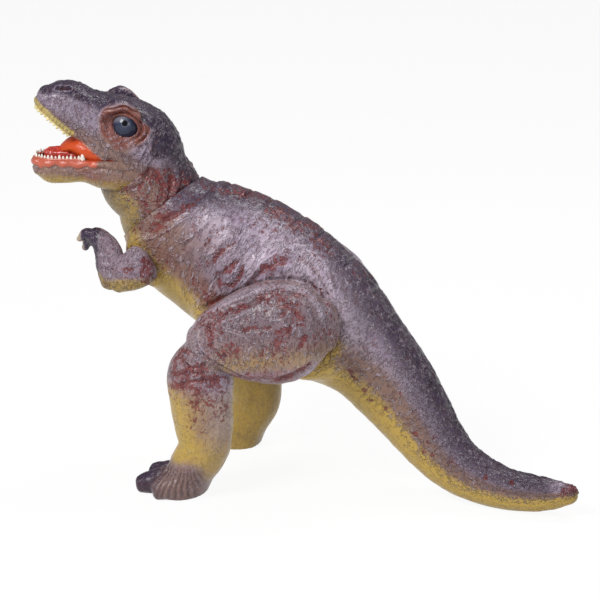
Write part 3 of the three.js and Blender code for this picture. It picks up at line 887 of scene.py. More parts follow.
CHEEK_STROKES = [
    (-1.7, 1.9, 0.15, [(-69, 252), (-61, 251), (-55, 256), (-49, 260), (-45, 267), (-42, 276)]),
    (1.2, 2.4, 0, [(-66, 258), (-58, 258), (-53, 262), (-49, 269)]),
    (-1.3, 1.6, 0.3, [(-55, 292), (-49, 292), (-42, 295)]),
    (1.4, 1.3, 0, [(-53, 279), (-49, 286), (-45, 293)]),
    (1.2, 1.2, 0, [(-48, 278), (-44, 286), (-40, 292)]),
    (-1.0, 1.2, 0.2, [(-57, 283), (-52, 288), (-48, 296)]),
]
NECK_DABS = [(-31, 275), (-25, 267), (-18, 254), (-21, 242), (-13, 287), (-9, 273), (-4, 257)]
LIP_FROM = 29.0
TOOTH_STEP = 3.5


def round_eye(face, side):
    """Places round an eye: height out along its axis, distance from the axis, the lids' opening that
    way, the sine and cosine of the direction from the lids' own line, which leans back, and the axis."""
    axis = np.array([-math.sin(EYE_SPLAY), side * math.cos(EYE_SPLAY), 0.0])
    onward = np.array([-math.cos(EYE_SPLAY), -side * math.sin(EYE_SPLAY), 0.0])
    offset = face - EYE * [1, side, 1]
    up, on = offset[:, 2], offset @ onward
    away = np.hypot(up, on)
    rise, run = up / np.maximum(away, 1e-6), on / np.maximum(away, 1e-6)
    sine = rise * math.cos(EYE_LEAN) - run * math.sin(EYE_LEAN)
    cosine = run * math.cos(EYE_LEAN) + rise * math.sin(EYE_LEAN)
    opening = 1 / np.sqrt((cosine / LID_LONG) ** 2 + (sine / LID_TALL) ** 2)
    return offset @ axis, away, opening, sine, cosine, axis


def with_lids(points, face):
    """Points with the lids of both eyes worked in, and four fields: how near the lids a point is,
    their rust, the painted highlight on their crests and the painted shade in their furrows. A lid
    is a roll along the opening with a furrow round it; above and behind the eye two more rolls
    follow, with a furrow between them."""
    lidded, rust, pale, dark = np.zeros((4, len(points)))
    for side in (LEFT, RIGHT):
        height, away, opening, sine, cosine, axis = round_eye(face, side)
        out = away - opening
        out = out + grain(face, 9, 91) * 2.0 * ease(out, 1.5, 5)
        ball = np.sqrt(np.maximum(EYE_SIZE**2 - away**2, 0))
        edge = np.sqrt(np.maximum(EYE_SIZE**2 - np.minimum(opening, 11.4) ** 2, 0)) + 0.8
        over = np.maximum(ease(sine, -0.1, 0.5), ease(-cosine, 0.35, 0.85) * ease(sine, -0.8, -0.2))
        furrow, second = bell(out, LID_FURROW, 0.9), bell(out, SECOND_FURROW, 0.9)
        third = bell(out, THIRD_ROLL, 1.3)
        skin = edge + (height - edge) * ease(out, 0.8, 9.0)
        skin += (0.6 + 0.9 * over) * bell(out, LID_ROLL, 1.2) - (0.5 + 1.3 * over) * furrow
        skin += over * (1.7 * bell(out, SECOND_ROLL, 1.5) - 1.6 * second + 1.5 * third)
        skin += (1 - over) * 0.35 * bell(out, 4.8, 2.0)
        skin += 0.35 * lumps(face * [1, 1, 0.6], 3.6, 93) * ease(out, 3, 6)
        skin = np.where(away < opening, ball - 1.3, skin)
        share = ease(away, 25, 18) * (height > 0)
        points = points + turned(NECK_TOP + axis * ((skin - height) * share)[:, None]) - NECK_TOP
        near = ease(away, 27, 20) * (height > 0)
        weak = ease(-sine, 0.35, 0.9) * ease(-cosine, -0.1, 0.6)
        # Painted highlight on the crests of the lid rolls, and painted shade in the furrows between them
        crests = over * (third + 0.45 * bell(out, SECOND_ROLL + 0.2, 1.0)) + 0.5 * bell(out, LID_ROLL, 0.8)
        rust = np.maximum(rust, near * ease(out, 17, 3 + 5 * over) * (1 - 0.4 * weak))
        pale = np.maximum(pale, near * crests)
        dark = np.maximum(dark, near * (furrow * (0.4 + 0.6 * over) + over * second))
        lidded = np.maximum(lidded, near * ease(out, 14, 9))
    return points, lidded, rust, pale, dark


def nostrils(face):
    """Heights round the nostrils: a slit along a short line on each side, with a raised edge."""
    total = np.zeros(len(face))
    for side in (LEFT, RIGHT):
        away, _ = from_line(face, NOSTRIL_LINE + NOSTRIL * [1, side, 1])
        total += 1.1 * bell(away, 3.0, 1.1) - 2.6 * bell(away, 0, 1.4)
    return total


def scallops(face):
    """Bulges of the upper lip, one to a tooth: the size of a sine of the distance along the lip."""
    line = lip_line(SKULL, MOUTH, PALATE, SNOUT_DOME)
    passed = run_of(line)
    _, share = from_line(face, line)
    along = np.interp(share * (len(passed) - 1), np.arange(len(passed)), passed)
    return np.abs(np.sin(math.pi * along / TOOTH_STEP))


def head_skin():
    """Neck, skull, brows, throat and nape welded into one skin, cut at the collar and smoothed at
    the mouth's corners and under the back of the skull."""
    neck = mesh_of("neck", loft(NECK, front=18))
    skull = mesh_of("skull", facing(loft(SKULL, square=FACE_SQUARE, back=8, front=SNOUT_DOME)))
    trimmed(skull, (turned(MOUTH), turned(NECK_TOP - PALATE) - NECK_TOP))
    extras = [facing(loft(BROW, back=5, front=5, side=side, sides=24)) for side in (LEFT, RIGHT)]
    extras.append(facing(loft(THROAT, front=3, sides=32)))
    extras.append(loft(NAPE, back=8, front=7, sides=40))
    together = joined("head_hide", neck, skull, mesh_of("extras", *extras))
    made = welded("head_hide", together, voxel=0.8, rounds=8)
    trimmed(made.data, (COLLAR + COLLAR_AXIS * SEAM, -COLLAR_AXIS))
    points, _ = points_of(made)
    face = turned(points, -1)
    corner = np.linalg.norm((face - MOUTH_CORNER)[:, [0, 2]], axis=1)
    behind = bell(points[:, 2], 274, 9) * ease(points[:, 0], -40, -22)
    share = np.maximum(ease(corner, 15, 9) * (np.abs(face[:, 1]) > 18), behind) * 0.8
    set_points(made, relaxed(made, points, share, 70))
    return made


def make_head():
    """The head's skin with eyelids, scalloped lips, nostrils, folds and lumps worked in."""
    made = head_skin()
    points, normal = points_of(made)
    face = turned(points, -1)
    rim = (points - COLLAR) @ COLLAR_AXIS - SEAM
    normal = sideways_of(normal, rim, COLLAR_AXIS)
    # The lids bring a painted highlight on their crests and painted shade in their furrows, which also
    # deepens the red wash there
    points, lidded, rust, pale, dark = with_lids(points, face)
    high = along_form(points, NECK)[2]
    crown = -along_form(face, SKULL)[2]
    skull = ease(points[:, 2], 262, 284)
    neck = 1 - skull
    above = (face - MOUTH) @ PALATE
    lip_run = (face - MOUTH) @ ALONG_LIP
    inside = ((above < 0.7) * (face[:, 0] < -79) * (face[:, 2] > 272)).astype(float)
    outer = 1 - inside
    lipped = ease(lip_run, LIP_FROM - 4, LIP_FROM + 4) * outer
    neck_folds, neck_red = stroked(points, NECK_STROKES)
    cheek_folds, cheek_red = stroked(face, CHEEK_STROKES)
    creases = neck_folds * (1 - ease(points[:, 2], 284, 292)) + cheek_folds * ease(points[:, 2], 240, 256)
    creases *= ease(np.abs(normal[:, 1]), 0.1, 0.45)
    slit = nostrils(face)
    lips = (scallops(face) * bell(above, 2.0, 3.0) - 0.7 * bell(above, 5.5, 1.0)) * lipped
    plum = np.minimum(skull * ease(crown, 0.2, 0.8) + ease(-high, -0.05, 1.0) * neck * 0.92, 1)
    dusk = ease(face[:, 0], -46, -38) * ease(face[:, 2], 272, 286)
    temple = skull * np.maximum(0.44 * ease(crown, -0.75, -0.35), dusk)
    plum = np.maximum(plum, temple) * (1 - lidded)
    # Plum over the neck, with more towards the throat as painted shade under the chin
    plum = np.maximum(plum, neck * (0.3 + 0.24 * ease(high, 0.0, 0.5)))
    texture = lumps(face, 4.6, 21) * 0.8 * ease(plum, 0.45, 0.8)
    texture += lumps(face * [1, 1, 0.55], 4.8, 27) * 0.35 * (1 - plum)
    texture *= outer * (1 - lidded * 0.9) * (1 - ease(above, 8, 3) * lipped)
    roll = ease(rim, 5, 0) ** 2 * 0.5
    points = points + normal * ((creases + slit + texture + lips) * outer - roll)[:, None]
    set_points(made, points)

    lip = ease(above, 5.8, 4.2) * lipped * (above > -2)
    cheek = ease(crown, 0.2, -0.5) * skull
    web = ease(above, 6.5, 0.0) * (above > -4) * ease(lip_run, LIP_FROM + 3, LIP_FROM - 3)
    web *= ease(lip_run, -9, -1)
    wash = neck_red * neck + cheek_red * 0.6 + neck * (0.16 + 0.12 * bell(high, -0.1, 0.5))
    wash += 0.2 * dabs(points, NECK_DABS, 5) * neck + dark * 0.4 + flecked(points) * (0.8 - 0.45 * skull)
    calm = lidded * 0.45 + np.maximum(ease(crown, 0.4, 0.8), dusk * 0.8) * skull * 0.35
    calm += ease(high, 0.2, 0.6) * neck * 0.6 + cheek * ease(face[:, 2], 282, 270) * 0.5
    coat(
        made, face * [1, 1, 1.6], plum=plum * 0.97,
        ochre=np.minimum(neck * ease(high, -0.1, 0.55) * 1.1 + lip, 1) * outer,
        taupe=cheek * 0.75 + neck * 0.85 + rust * 0.5,
        blood=np.minimum(wash, WASH_MOST) * outer * (1 - 0.6 * neck * ease(high, 0.1, 0.5)),
        rust=rust * (1 - pale * 0.45) + web * 0.5,
        lining=inside + web * 0.62,
        bone=lip * 0.5,
        relief=creases * 0.55 + texture * (0.6 - 0.3 * plum) + slit * 0.9 + pale * 0.7 - dark * 0.6,
        calm=calm,
    )
    dress(made, "head", ("head_skin", "head_stuffing"))


make_head()

# Lower jaw

JAW_STROKES = [
    (1.0, 1.4, 0, [(-98, 271), (-88, 275), (-80, 275), (-72, 273), (-62, 272)]),
    (-1.1, 1.3, 0.2, [(-92, 269), (-82, 272), (-72, 270), (-60, 269)]),
    (-1.0, 1.6, 0, [(-128, 262), (-116, 259), (-104, 262), (-96, 268)]),
    (-1.4, 2.0, 0.15, [(-69, 254), (-61, 253), (-54, 257)]),
]


def make_jaw():
    """The lower jaw, cut level at the lip, with a wavy rolled lip and a mouth hollowed behind it."""
    mesh = mesh_of("lower_jaw_hide", facing(loft(JAW, square=FACE_SQUARE, front=CHIN_DOME)))
    trimmed(mesh, (UP * LOWER_LIP, UP))
    made = welded("lower_jaw_hide", mesh, voxel=0.7, rounds=4)
    points, normal = points_of(made)
    face = turned(points, -1)
    forward, up = face[:, 0], face[:, 2]
    line = lip_line(JAW, UP * LOWER_LIP, UP, CHIN_DOME)
    away, share = from_line(face[:, :2], line[:, :2])
    flat = (up > LOWER_LIP - 1.2) * (normal[:, 2] > 0.6)
    points[:, 2] -= flat * ease(away, 3.2, 6.0) * 8.5 * ease(forward, -98, -112)
    wave = 0.9 * np.sin(share * 95) + 0.6 * np.sin(share * 41)
    under = LOWER_LIP - 5.2 + wave - 1.5 * ease(forward, -126, -138)
    front = ease(forward, -78, -96)
    band = bell(up, under + 2.6, 2.0) * front * (1 - flat) * (1.0 + 0.35 * np.sin(share * 130))
    crease = -1.0 * bell(up, under - 1.0, 1.1) * front
    strokes, red = stroked(face, JAW_STROKES)
    strokes *= ease(np.abs(normal[:, 1]), 0.1, 0.4)
    texture = lumps(face, 5.0, 41) * 0.2 * (1 - flat)
    points = points + normal * (band * 0.9 + crease + strokes + texture)[:, None]
    set_points(made, points)

    # Under the chin: less ochre and more rust, partly the chin's paint and partly painted shade under the
    # jaw
    chin = ease(up, 268, 256)
    corner = bell(np.hypot(forward + 92, (up - 277) * 1.5), 0, 8)
    coat(
        made, face * [1, 1, 1.6], taupe=0.9, calm=0.5,
        coral=ease(up, under - 1, under + 0.6) * front * (1 - flat * ease(away, 2.5, 4.0)),
        lining=np.maximum(flat * ease(away, 2.5, 4.5), 0.55 * corner),
        ochre=chin * 0.62 + ease(forward, -90, -108) * ease(up, 270, 264) * 0.3,
        relief=crease * 0.5 + strokes * 0.5 + texture,
        blood=np.minimum(red + 0.1, 0.6),
        rust=bell(forward, -98, 20) * ease(up, 254, 266) * 0.55 + chin * 0.6,
    )
    dress(made, "head", ("lower_jaw",))


make_jaw()

# Tongue and teeth

def vinyl_paint(name, colour, deep, layer=None, layer_colour=None):
    """A plain paint with mottled depth, and a second colour where a layer says so."""
    made, start, place, shader = material(name)
    mottle = start.noise(place, 220, 4, 0.6)
    tone = mottle.rise(0.35, 0.7).blend(deep, colour)
    if layer:
        tone = tone.over(start.layer(layer).rise(0.2, 0.8), layer_colour)
    bump = start.make("ShaderNodeBump", values={"Strength": 0.5, "Distance": 0.0005, "Height": mottle})
    finish_with(
        start, shader, base_color=tone, normal=bump, roughness=0.3 + mottle * 0.1,
        coat_weight=0.3, coat_roughness=0.15,
    )
    return made


def make_tongue():
    """The tongue: a flat loft with a swollen, lumpy top and a groove along its middle."""
    mesh = mesh_of("tongue_flesh", facing(loft(TONGUE, back=4, front=4)))
    made = welded("tongue_flesh", mesh, voxel=0.6, rounds=3)
    points, normal = points_of(made)
    face = turned(points, -1)
    groove = -1.4 * bell(face[:, 1], 0, 1.6) * ease(normal[:, 2], 0.2, 0.7)
    pitted = 1.3 * lumps(points, 5.0, 51) * ease(normal[:, 2], 0.0, 0.6)
    swell = 3.6 * ease(normal[:, 2], -0.2, 0.5)
    set_points(made, points + normal * (groove + pitted)[:, None] + UP * swell[:, None])
    made.data.materials.append(vinyl_paint("tongue_paint", TONGUE_RED, TONGUE_DEEP))
    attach(made, "head")
    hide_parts("tongue")


make_tongue()

TOOTH_RINGS, TOOTH_SIDES = 7, 10
GUM_STEPS, GUM_SIDES = 120, 12


def make_teeth(name, node, line, rise, step, size, tall, paint, fang=0.0):
    """A tooth row. Each tooth is a blunt point: a ring of radius size * (1 - share^2)^0.6 at a share
    of its height, flattened across the gum. The gum is a round bar along the lip line. The teeth
    nearest the corners may be larger by the fang share."""
    run = run_of(line)

    def place(at):
        return np.stack([np.interp(at, run, values) for values in line.T], -1)

    count = int((run[-1] - step) / step)
    at = np.linspace(step / 2, run[-1] - step / 2, count)
    base, ahead = place(at), unit(place(at + 0.5) - place(at - 0.5))
    aside = np.cross(ahead, rise)
    big = 1 + 0.12 * np.sin(np.arange(count) * 2.4)
    big[[0, -1]] += fang
    share = np.linspace(0, 1, TOOTH_RINGS)[None, :, None, None]
    angle = turns(TOOTH_SIDES)[None, None, :, None]
    ring = np.maximum(1 - share**2, 1e-4) ** 0.6 * (size * big)[:, None, None, None]
    crowns = (
        base[:, None, None] + ahead[:, None, None] * ring * np.cos(angle)
        + aside[:, None, None] * ring * np.sin(angle) * 0.75
        + rise * (share * tall - 1.0) * big[:, None, None, None]
    )
    mid = place(np.linspace(0, run[-1], GUM_STEPS)) - rise * 0.4
    out = np.cross(unit(np.gradient(mid, axis=0)), rise)
    turn = turns(GUM_SIDES)[None, :, None]
    bar = mid[:, None] + out[:, None] * np.cos(turn) * 1.7 + rise * np.sin(turn) * 1.5
    crown_faces = capped_faces(TOOTH_RINGS, TOOTH_SIDES)
    forms = [(turned(crown.reshape(-1, 3)), crown_faces) for crown in crowns]
    forms.append((turned(bar.reshape(-1, 3)), capped_faces(GUM_STEPS, GUM_SIDES)))
    mesh = outward(mesh_of(name, *forms))
    made = piece(name, mesh)
    set_points(made, points_of(made)[0])
    root = np.broadcast_to(ease(share, 0.3, 0.1), (count, TOOTH_RINGS, TOOTH_SIDES, 1)).ravel()
    store(mesh, "gum", np.concatenate([root * 0.6, np.ones(GUM_STEPS * GUM_SIDES)]))
    mesh.materials.append(paint)
    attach(made, "head")
    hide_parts(node)


lower_line = lip_line(JAW, UP * (LOWER_LIP + 0.3), UP, CHIN_DOME, -2.4)
lower_paint = vinyl_paint("lower_tooth_paint", TOOTH, TOOTH_DEEP, "gum", CORAL)
make_teeth(
    "lower_tooth_row", "lower_teeth", lower_line[lower_line[:, 0] < -98], UP,
    step=3.2, size=1.55, tall=4.6, paint=lower_paint, fang=0.6,
)
upper_line = lip_line(SKULL, MOUTH, PALATE, SNOUT_DOME, -1.5)
upper_paint = vinyl_paint("upper_tooth_paint", YELLOW_TOOTH, YELLOW_TOOTH_DEEP, "gum", YELLOW_GUM)
make_teeth(
    "upper_tooth_row", "upper_teeth", upper_line[(upper_line - MOUTH) @ ALONG_LIP > LIP_FROM + 2], -PALATE,
    step=TOOTH_STEP, size=2.0, tall=4.2, paint=upper_paint,
)

# Eyes

GAZE_UP = math.radians(18)
GAZE_AHEAD = math.radians(5)
BALL_ROWS, BALL_SIDES = 39, 64


def eye_gloss():
    """A slate ball with a painted highlight over its upper part, a small black pupil in a thin pale ring
    and a hard gloss.
    """
    made, start, place, shader = material("eye_gloss")
    look = start.layer("look")
    cloud = start.noise(place, 160, 3)
    tone = (look + (cloud - 0.5) * 0.3).rise(0.25, 0.9).blend(SLATE, DEEP_SLATE)
    # Painted highlight: a pale sheen over the upper part of the ball
    tone = tone.over(start.layer("above").rise(0.35, 0.85) * 0.75, EYE_PAINTED_HIGHLIGHT)
    tone = tone.over((1 - look.rise(0.24, 0.34)) * 0.35, PUPIL_RING)
    tone = tone.over(1 - look.rise(0.18, 0.25), PUPIL)
    finish_with(start, shader, base_color=tone, roughness=0.13 + cloud * 0.05, specular_ior_level=0.3)
    return made


def make_eye(name, side, paint):
    """A ball: a grid of angles from its gaze and round it, with the angle from the gaze stored for
    the pupil and the share above its middle for the painted highlight."""
    level = np.array([-math.sin(GAZE_AHEAD), side * math.cos(GAZE_AHEAD), 0.0])
    gaze = level * math.cos(GAZE_UP) + UP * math.sin(GAZE_UP)
    aside = unit(np.cross(gaze, UP))
    above = np.cross(aside, gaze)
    far = np.linspace(0, math.pi, BALL_ROWS + 2)[1:-1, None, None]
    turn = turns(BALL_SIDES)[None, :, None]
    grid = gaze * np.cos(far) + (aside * np.cos(turn) + above * np.sin(turn)) * np.sin(far)
    ball = np.vstack([grid.reshape(-1, 3), gaze, -gaze])
    points = turned(ball * EYE_SIZE + EYE * [1, side, 1])
    mesh = outward(mesh_of(name, (points, pointed_faces(BALL_ROWS, BALL_SIDES))))
    made = piece(name, mesh)
    set_points(made, points_of(made)[0])
    look = np.concatenate([np.repeat(far.ravel(), BALL_SIDES), [0, math.pi]])
    store(mesh, "look", np.clip(look / 1.05, 0, 1))
    # Share of the ball above its middle, which takes the painted highlight
    store(mesh, "above", np.clip(ball @ [-0.3, 0, 0.95], 0, 1))
    mesh.materials.append(paint)
    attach(made, "head")
    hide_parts("left_eye" if side == LEFT else "right_eye")


eye_paint = eye_gloss()
make_eye("left_eye_ball", LEFT, eye_paint)
make_eye("right_eye_ball", RIGHT, eye_paint)

# Arms

ARM_STROKES = [
    (-1.0, 1.3, 0.5, [(-44, 187), (-41, 192), (-37, 191), (-34, 195)]),
    (1.0, 1.3, 0, [(-39, 201), (-35, 206), (-31, 209)]),
    (-1.0, 1.5, 0.6, [(-27, 188), (-23, 195), (-25, 201), (-25, 207)]),
    (-0.9, 1.3, 0, [(-70, 206), (-60, 203), (-54, 198)]),
    (-0.9, 1.3, 0.2, [(-66, 192), (-58, 190), (-50, 191)]),
    (0.9, 1.3, 0, [(-66, 196), (-58, 194), (-49, 196)]),
]


def make_arm(name, side):
    """Arm, hand and two claws welded into one skin, lumpy all over and most on the hand."""
    forms = [
        loft(UPPER_ARM, back=8, front=8, side=side, sides=32),
        loft(FOREARM, back=8, front=4, side=side, sides=32),
    ] + [loft(rows, front=3, side=side, sides=24) for rows in FINGERS]
    mesh = mesh_of(name, *forms)
    trimmed(mesh, ((0, side * (SHOULDER_SEAT + GAP), 0), (0, -side, 0)))
    made = welded(name, mesh, voxel=0.6, rounds=4)
    points, normal = points_of(made)
    strokes, red = stroked(points, ARM_STROKES)
    hand = ease(points[:, 0], -66, -74)
    wrinkle = lumps(points, 5.0, 61) * (0.3 + 0.4 * hand)
    seat = ease(np.abs(points[:, 1]), SHOULDER_SEAT, SHOULDER_SEAT + 3)
    outside = ease(side * normal[:, 1], 0.0, 0.4)
    points = points + normal * ((wrinkle + strokes * outside) * seat)[:, None]
    set_points(made, points)

    elbow = ease(points[:, 2], 190, 174) * ease(-normal[:, 2], -0.5, 0.3)
    front = ease(-normal[:, 0], 0.3, 0.8) * ease(points[:, 2], 205, 180)
    tips = ease(points[:, 0], -83.5, -86)
    plum = hand * 1.1 + ease(points[:, 0], -56, -70) * 0.2 + 0.36 * outside
    wash = red * outside + flecked(points) * 0.8 + bell(points[:, 0], -24, 5) * 0.35
    coat(
        made, points * [1, 1, 1.5], taupe=0.4, bone=tips * 0.5,
        plum=np.minimum(plum, 1) * (1 - tips),
        ochre=elbow * 1.4 + front * 0.7 + ease(-side * normal[:, 1], 0.3, 0.8) * 0.7,
        blood=np.minimum(wash, WASH_MOST),
        relief=strokes * 0.5 + wrinkle * 0.6 + tips,
        calm=0.15 + 0.45 * hand * (1 - tips),
    )
    body = "left_arm" if side == LEFT else "right_arm"
    dress(made, body, (body + "_skin",))


make_arm("left_arm_hide", LEFT)
make_arm("right_arm_hide", RIGHT)

# Legs

LEG_STROKES = [
    (2.2, 1.2, 0, [(34, 160), (45, 167), (57, 173), (68, 178), (78, 183), (90, 185), (103, 185)]),
    (-2.0, 1.7, 0.55, [(36, 150), (46, 161), (57, 167), (70, 172), (79, 177), (89, 180)]),
    (1.3, 1.4, 0, [(40, 150), (50, 157), (62, 162), (74, 166)]),
    (-1.3, 1.7, 0.5, [(66, 152), (77, 155), (87, 156), (95, 158)]),
    (-1.2, 1.6, 0.45, [(95, 158), (101, 154), (109, 155), (110, 162)]),
    (-1.2, 1.6, 0.45, [(95, 165), (102, 168), (105, 172), (108, 176), (112, 171), (116, 166)]),
    (1.2, 1.3, 0, [(80, 169), (85, 164), (94, 164)]),
    (1.4, 1.3, 0, [(50, 152), (64, 150), (78, 146)]),
    (-1.5, 1.9, 0.6, [(35, 154), (38, 149), (41, 141), (41, 134)]),
    (-1.2, 1.6, 0.4, [(48, 129), (52, 128), (58, 135)]),
    (-1.0, 1.5, 0.4, [(86, 134), (91, 143)]),
    (-1.0, 1.5, 0.4, [(96, 142), (102, 150)]),
    (-1.1, 1.5, 0.4, [(116, 138), (121, 147), (123, 154)]),
    (-1.3, 1.6, 0.5, [(92, 110), (103, 114), (112, 118), (121, 124), (131, 132)]),
    (1.2, 1.6, 0, [(90, 114), (102, 118), (112, 122), (121, 128), (131, 137)]),
    (1.2, 1.2, 0, [(112, 187), (122, 181), (130, 172), (134, 162)]),
    (1.2, 1.2, 0, [(108, 182), (118, 176), (125, 167), (128, 157)]),
    (-1.8, 1.7, 0.65, [(10, 121), (16, 119), (21, 116), (30, 117), (36, 121)]),
    (-1.8, 1.7, 0.6, [(0, 106), (12, 110), (22, 111), (32, 112)]),
    (-1.6, 1.6, 0.6, [(2, 96), (15, 101), (26, 104), (40, 106), (51, 107)]),
    (-1.3, 1.5, 0.5, [(9, 126), (19, 130), (24, 127)]),
    (-1.3, 1.6, 0.5, [(21, 116), (19, 110), (16, 102), (15, 94)]),
    (-1.2, 1.6, 0.5, [(36, 121), (33, 112), (35, 104)]),
    (-1.2, 1.8, 0.3, [(22, 90), (26, 81), (32, 87), (38, 86)]),
    (-0.8, 1.6, 0.15, [(26, 81), (27, 72), (23, 60)]),
    (1.3, 1.4, 0, [(22, 93), (34, 96)]),
    (1.3, 1.4, 0, [(28, 109), (40, 112)]),
    (-1.2, 1.5, 0.4, [(46, 133), (51, 128), (56, 131)]),
    (1.8, 1.2, 0, [(27, 148), (31, 137), (38, 130), (49, 124), (62, 118), (73, 114), (84, 111)]),
    (-1.8, 1.4, 0.2, [(24, 142), (29, 133), (36, 126), (48, 120), (61, 114), (72, 110)]),
]
LEG_DABS = [
    (33, 150), (45, 161), (64, 169), (80, 176), (101, 177), (112, 173), (117, 166), (81, 156), (108, 156),
    (100, 146), (119, 149), (51, 131), (66, 137), (76, 142), (88, 135), (5, 109), (12, 124), (20, 111),
    (31, 116), (40, 106), (7, 98), (28, 95), (27, 81), (23, 69), (8, 83), (4, 118), (36, 128),
]
ANKLE = np.array([18.0, 60.0])
CALF_TOP = 100.0
CALF_SHARE = 0.7


def calf_form(form, side):
    """A shin or toe form whose part past the hip seat's plane is kept to a share of its depth."""
    points, faces = form
    inward = np.maximum(HIP_SEAT + GAP - side * points[:, 1], 0)
    return points + np.array([0.0, side, 0.0]) * (inward * (1 - CALF_SHARE))[:, None], faces


def leg_skin(name, side, step):
    """Thigh, shin and three toes welded into one skin, cut flat at the hip's seat and the floor. The
    shin and foot are moved on by a step, in full at the floor and not at all at the knee."""
    def stepped(rows):
        return [[row[0] + step * (1 - row[2] / KNEE_Z), *row[1:]] for row in rows]

    shank = [loft(stepped(SHIN), back=9, side=side)]
    shank += [loft(stepped(rows), front=4, side=side, sides=40) for rows in TOES]
    seat = side * (HIP_SEAT + GAP)
    upper = mesh_of(name, loft(THIGH, back=11, front=11, side=side, lean=16), *shank)
    trimmed(upper, ((0, seat, 0), (0, -side, 0)), GROUND)
    calf = mesh_of("calf", *[calf_form(form, side) for form in shank])
    trimmed(calf, ((0, seat, CALF_TOP), unit(np.array([0.0, -2.0 * side, 1.0]))), GROUND)
    return welded(name, joined(name, upper, calf), voxel=1.0, rounds=4)


def make_leg(name, side):
    """A leg's skin with folds round the thigh's edge, drawn creases, a cracked knee and a fan of
    tendons over the foot, which is a sine of the direction from the ankle."""
    step = RIGHT_STEP if side == RIGHT else 0.0
    made = leg_skin(name, side, step)
    points, normal = points_of(made)
    back = step * np.maximum(1 - points[:, 2] / KNEE_Z, 0)
    level = points - np.array([1.0, 0.0, 0.0]) * back[:, None]
    forward, up = level[:, 0], level[:, 2]
    outer = side * normal[:, 1]
    outside = ease(outer, 0.0, 0.4)
    thigh = ease(up - 0.25 * (forward - 30), 100, 116)
    shin = 1 - thigh
    strokes, red = stroked(level, LEG_STROKES)
    strokes, red = strokes * outside, red * ease(outer, -0.3, 0.2)
    toward = np.arctan2(ANKLE[0] - forward, ANKLE[1] - up)
    paw = ease(up, 34, 20) * ease(forward, 40, 24)
    foot = paw * ease(up, FLOOR + 1.5, FLOOR + 5)
    toes = ease(forward, 4, -22) * ease(up, 34, 24)
    fan = np.sin(toward * 76 + grain(level, 8, 73) * 1.8) * 0.55 * foot * (1 - toes)
    fan *= ease(outer + normal[:, 2], -0.2, 0.3)
    wrinkle = lumps(level * [1, 1, 0.6], 6.5, 71) * 0.35 * (1 - foot)
    knuckles = lumps(level, 7, 75) * 0.5 * toes
    clear = ease(np.abs(points[:, 1]), HIP_SEAT, HIP_SEAT + 4)
    free = np.maximum(clear, ease(up, CALF_TOP - 16, CALF_TOP - 30))
    free *= ease(up, FLOOR + 0.5, FLOOR + 4)
    points = points + normal * ((strokes + fan + wrinkle + knuckles) * free)[:, None]
    points[:, 2] = np.maximum(points[:, 2], FLOOR)
    set_points(made, points)

    inner = ease(-outer, 0.05, 0.5)
    rear = ease(normal[:, 0], 0.25, 0.85) * ease(-outer, -0.2, 0.3) * shin
    front = ease(-normal[:, 0], -0.4, 0.8) * shin * ease(up, 20, 40) * ease(up, 112, 76)
    ankle = shin * bell(up, 42, 16) * ease(normal[:, 0], 0.9, 0.3)
    # Painted highlight: a pale band along the upward-facing edge of the thigh, laid on as pale relief
    thigh_edge_highlight = thigh * bell(outer, 0.42, 0.2) * ease(normal[:, 2], -0.1, 0.3)
    low_thigh = thigh * ease(up - 0.1 * forward, 146, 112) * ease(forward, 28, 56)
    knee = bell(up, 108, 15) * shin
    heel = ease(up, 56, 26) * ease(forward + 0.4 * up, 30, 44) * outside
    plum = toes * (0.5 + 0.4 * ease(up, 6, 20)) + paw * (0.30 - fan * 0.35) * (1 - inner)
    # Painted shade: plum darkens the shin's inner side and its rear, over their ochre
    plum += np.maximum(rear, inner * shin) * 0.36
    plum += thigh * (0.22 + 0.24 * ease(forward, 40, 62)) * outside * (1 - low_thigh)
    ochre = inner * 0.95 + front * 0.5 + low_thigh * 0.45 + ankle * 0.1 + rear * 0.9 + heel * 0.28
    ochre += shin * 0.42 * (1 - paw) * (1 - knee)
    taupe = 0.55 + low_thigh * 0.3 + paw * 0.3
    taupe -= shin * (0.1 + 0.3 * ease(normal[:, 0], 0.3, 0.8) * ease(up, 45, 75))
    wash = red + flecked(level) * (1.25 - 0.5 * shin) + knee * 0.26 + 0.2 * dabs(level, LEG_DABS, 4.5)
    wash += 0.2 * bell(up, 80, 18) * shin * outside * ease(forward, 8, 20)
    coat(
        made, level * [1, 1, 1.5], plum=plum, taupe=taupe,
        ochre=np.minimum(ochre, 1) * (1 - toes),
        rust=toes * 0.5 + shin * outside * (0.52 - 0.3 * ease(normal[:, 0], 0.1, 0.7)) * (1 - paw),
        blood=np.minimum(wash, WASH_MOST) * ease(outer, -0.5, 0.2) * (1 - 0.6 * foot),
        relief=strokes * 0.5 + fan * 0.7 + wrinkle * 0.6 + thigh_edge_highlight * 0.8,
        calm=np.minimum(shin * 0.65 - knee * 0.4 + inner * 0.4 + toes * 0.2, 0.85),
    )
    body = "left_leg" if side == LEFT else "right_leg"
    dress(made, body, (body + "_skin", body + "_stuffing"))


make_leg("left_leg_hide", LEFT)
make_leg("right_leg_hide", RIGHT)

# Stage

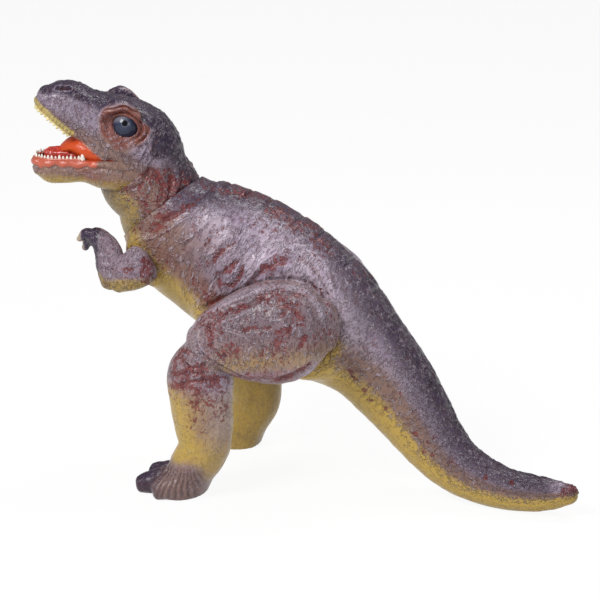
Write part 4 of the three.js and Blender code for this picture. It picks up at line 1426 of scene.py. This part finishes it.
FLOOR_REACH = 30
FLOOR_DROP = 0.0003
FLOOR_GLOW = 0.93


def make_floor():
    """A wide pale floor that keeps the toy's shadow and is white to the camera."""
    made, start, _, shader = material("pale_floor")
    tree = start.tree
    shader.inputs["Base Color"].default_value = (0.86, 0.86, 0.86, 1)
    shader.inputs["Roughness"].default_value = 0.9
    path = tree.nodes.new("ShaderNodeLightPath")
    seen = Tone(tree, path.outputs["Is Camera Ray"]) + Tone(tree, path.outputs["Is Glossy Ray"])
    seen = seen + Tone(tree, path.outputs["Is Transmission Ray"])
    glow = start.make("ShaderNodeEmission", values={"Color": (1, 1, 1, 1), "Strength": 1.0})
    mixed = start.make("ShaderNodeMixShader", values={
        0: seen.sum("MINIMUM", seen, 1.0) * FLOOR_GLOW, 1: Tone(tree, shader.outputs[0]), 2: glow,
    })
    tree.links.new(mixed.socket, tree.nodes["Material Output"].inputs["Surface"])
    mesh = bpy.data.meshes.new("floor")
    corners = [(-1, -1), (1, -1), (1, 1), (-1, 1)]
    points = [(x * FLOOR_REACH, y * FLOOR_REACH, -FLOOR_DROP) for x, y in corners]
    mesh.from_pydata(points, [], [(0, 1, 2, 3)])
    mesh.materials.append(made)
    piece("floor", mesh)


make_floor()


def softbox(name, place, size, power):
    """A square area lamp that looks at the middle of the toy."""
    lamp = bpy.data.lights.new(name, "AREA")
    lamp.shape = "SQUARE"
    lamp.size = size
    lamp.energy = power
    made = bpy.data.objects.new(name, lamp)
    scene.collection.objects.link(made)
    made.location = place
    made.rotation_mode = "QUATERNION"
    made.rotation_quaternion = (VIEW_AIM - Vector(place)).to_track_quat("-Z", "Y")


softbox("key", (-0.9, -1.3, 1.6), size=0.8, power=42)
softbox("fill", (1.4, -1.5, 0.9), size=1.0, power=10)
softbox("top", (0.3, 0.7, 1.8), size=0.8, power=18)
world = bpy.data.worlds.new("studio")
scene.world = world
world.use_nodes = True
world.node_tree.nodes["Background"].inputs["Color"].default_value = (1, 1, 1, 1)
world.node_tree.nodes["Background"].inputs["Strength"].default_value = 0.25
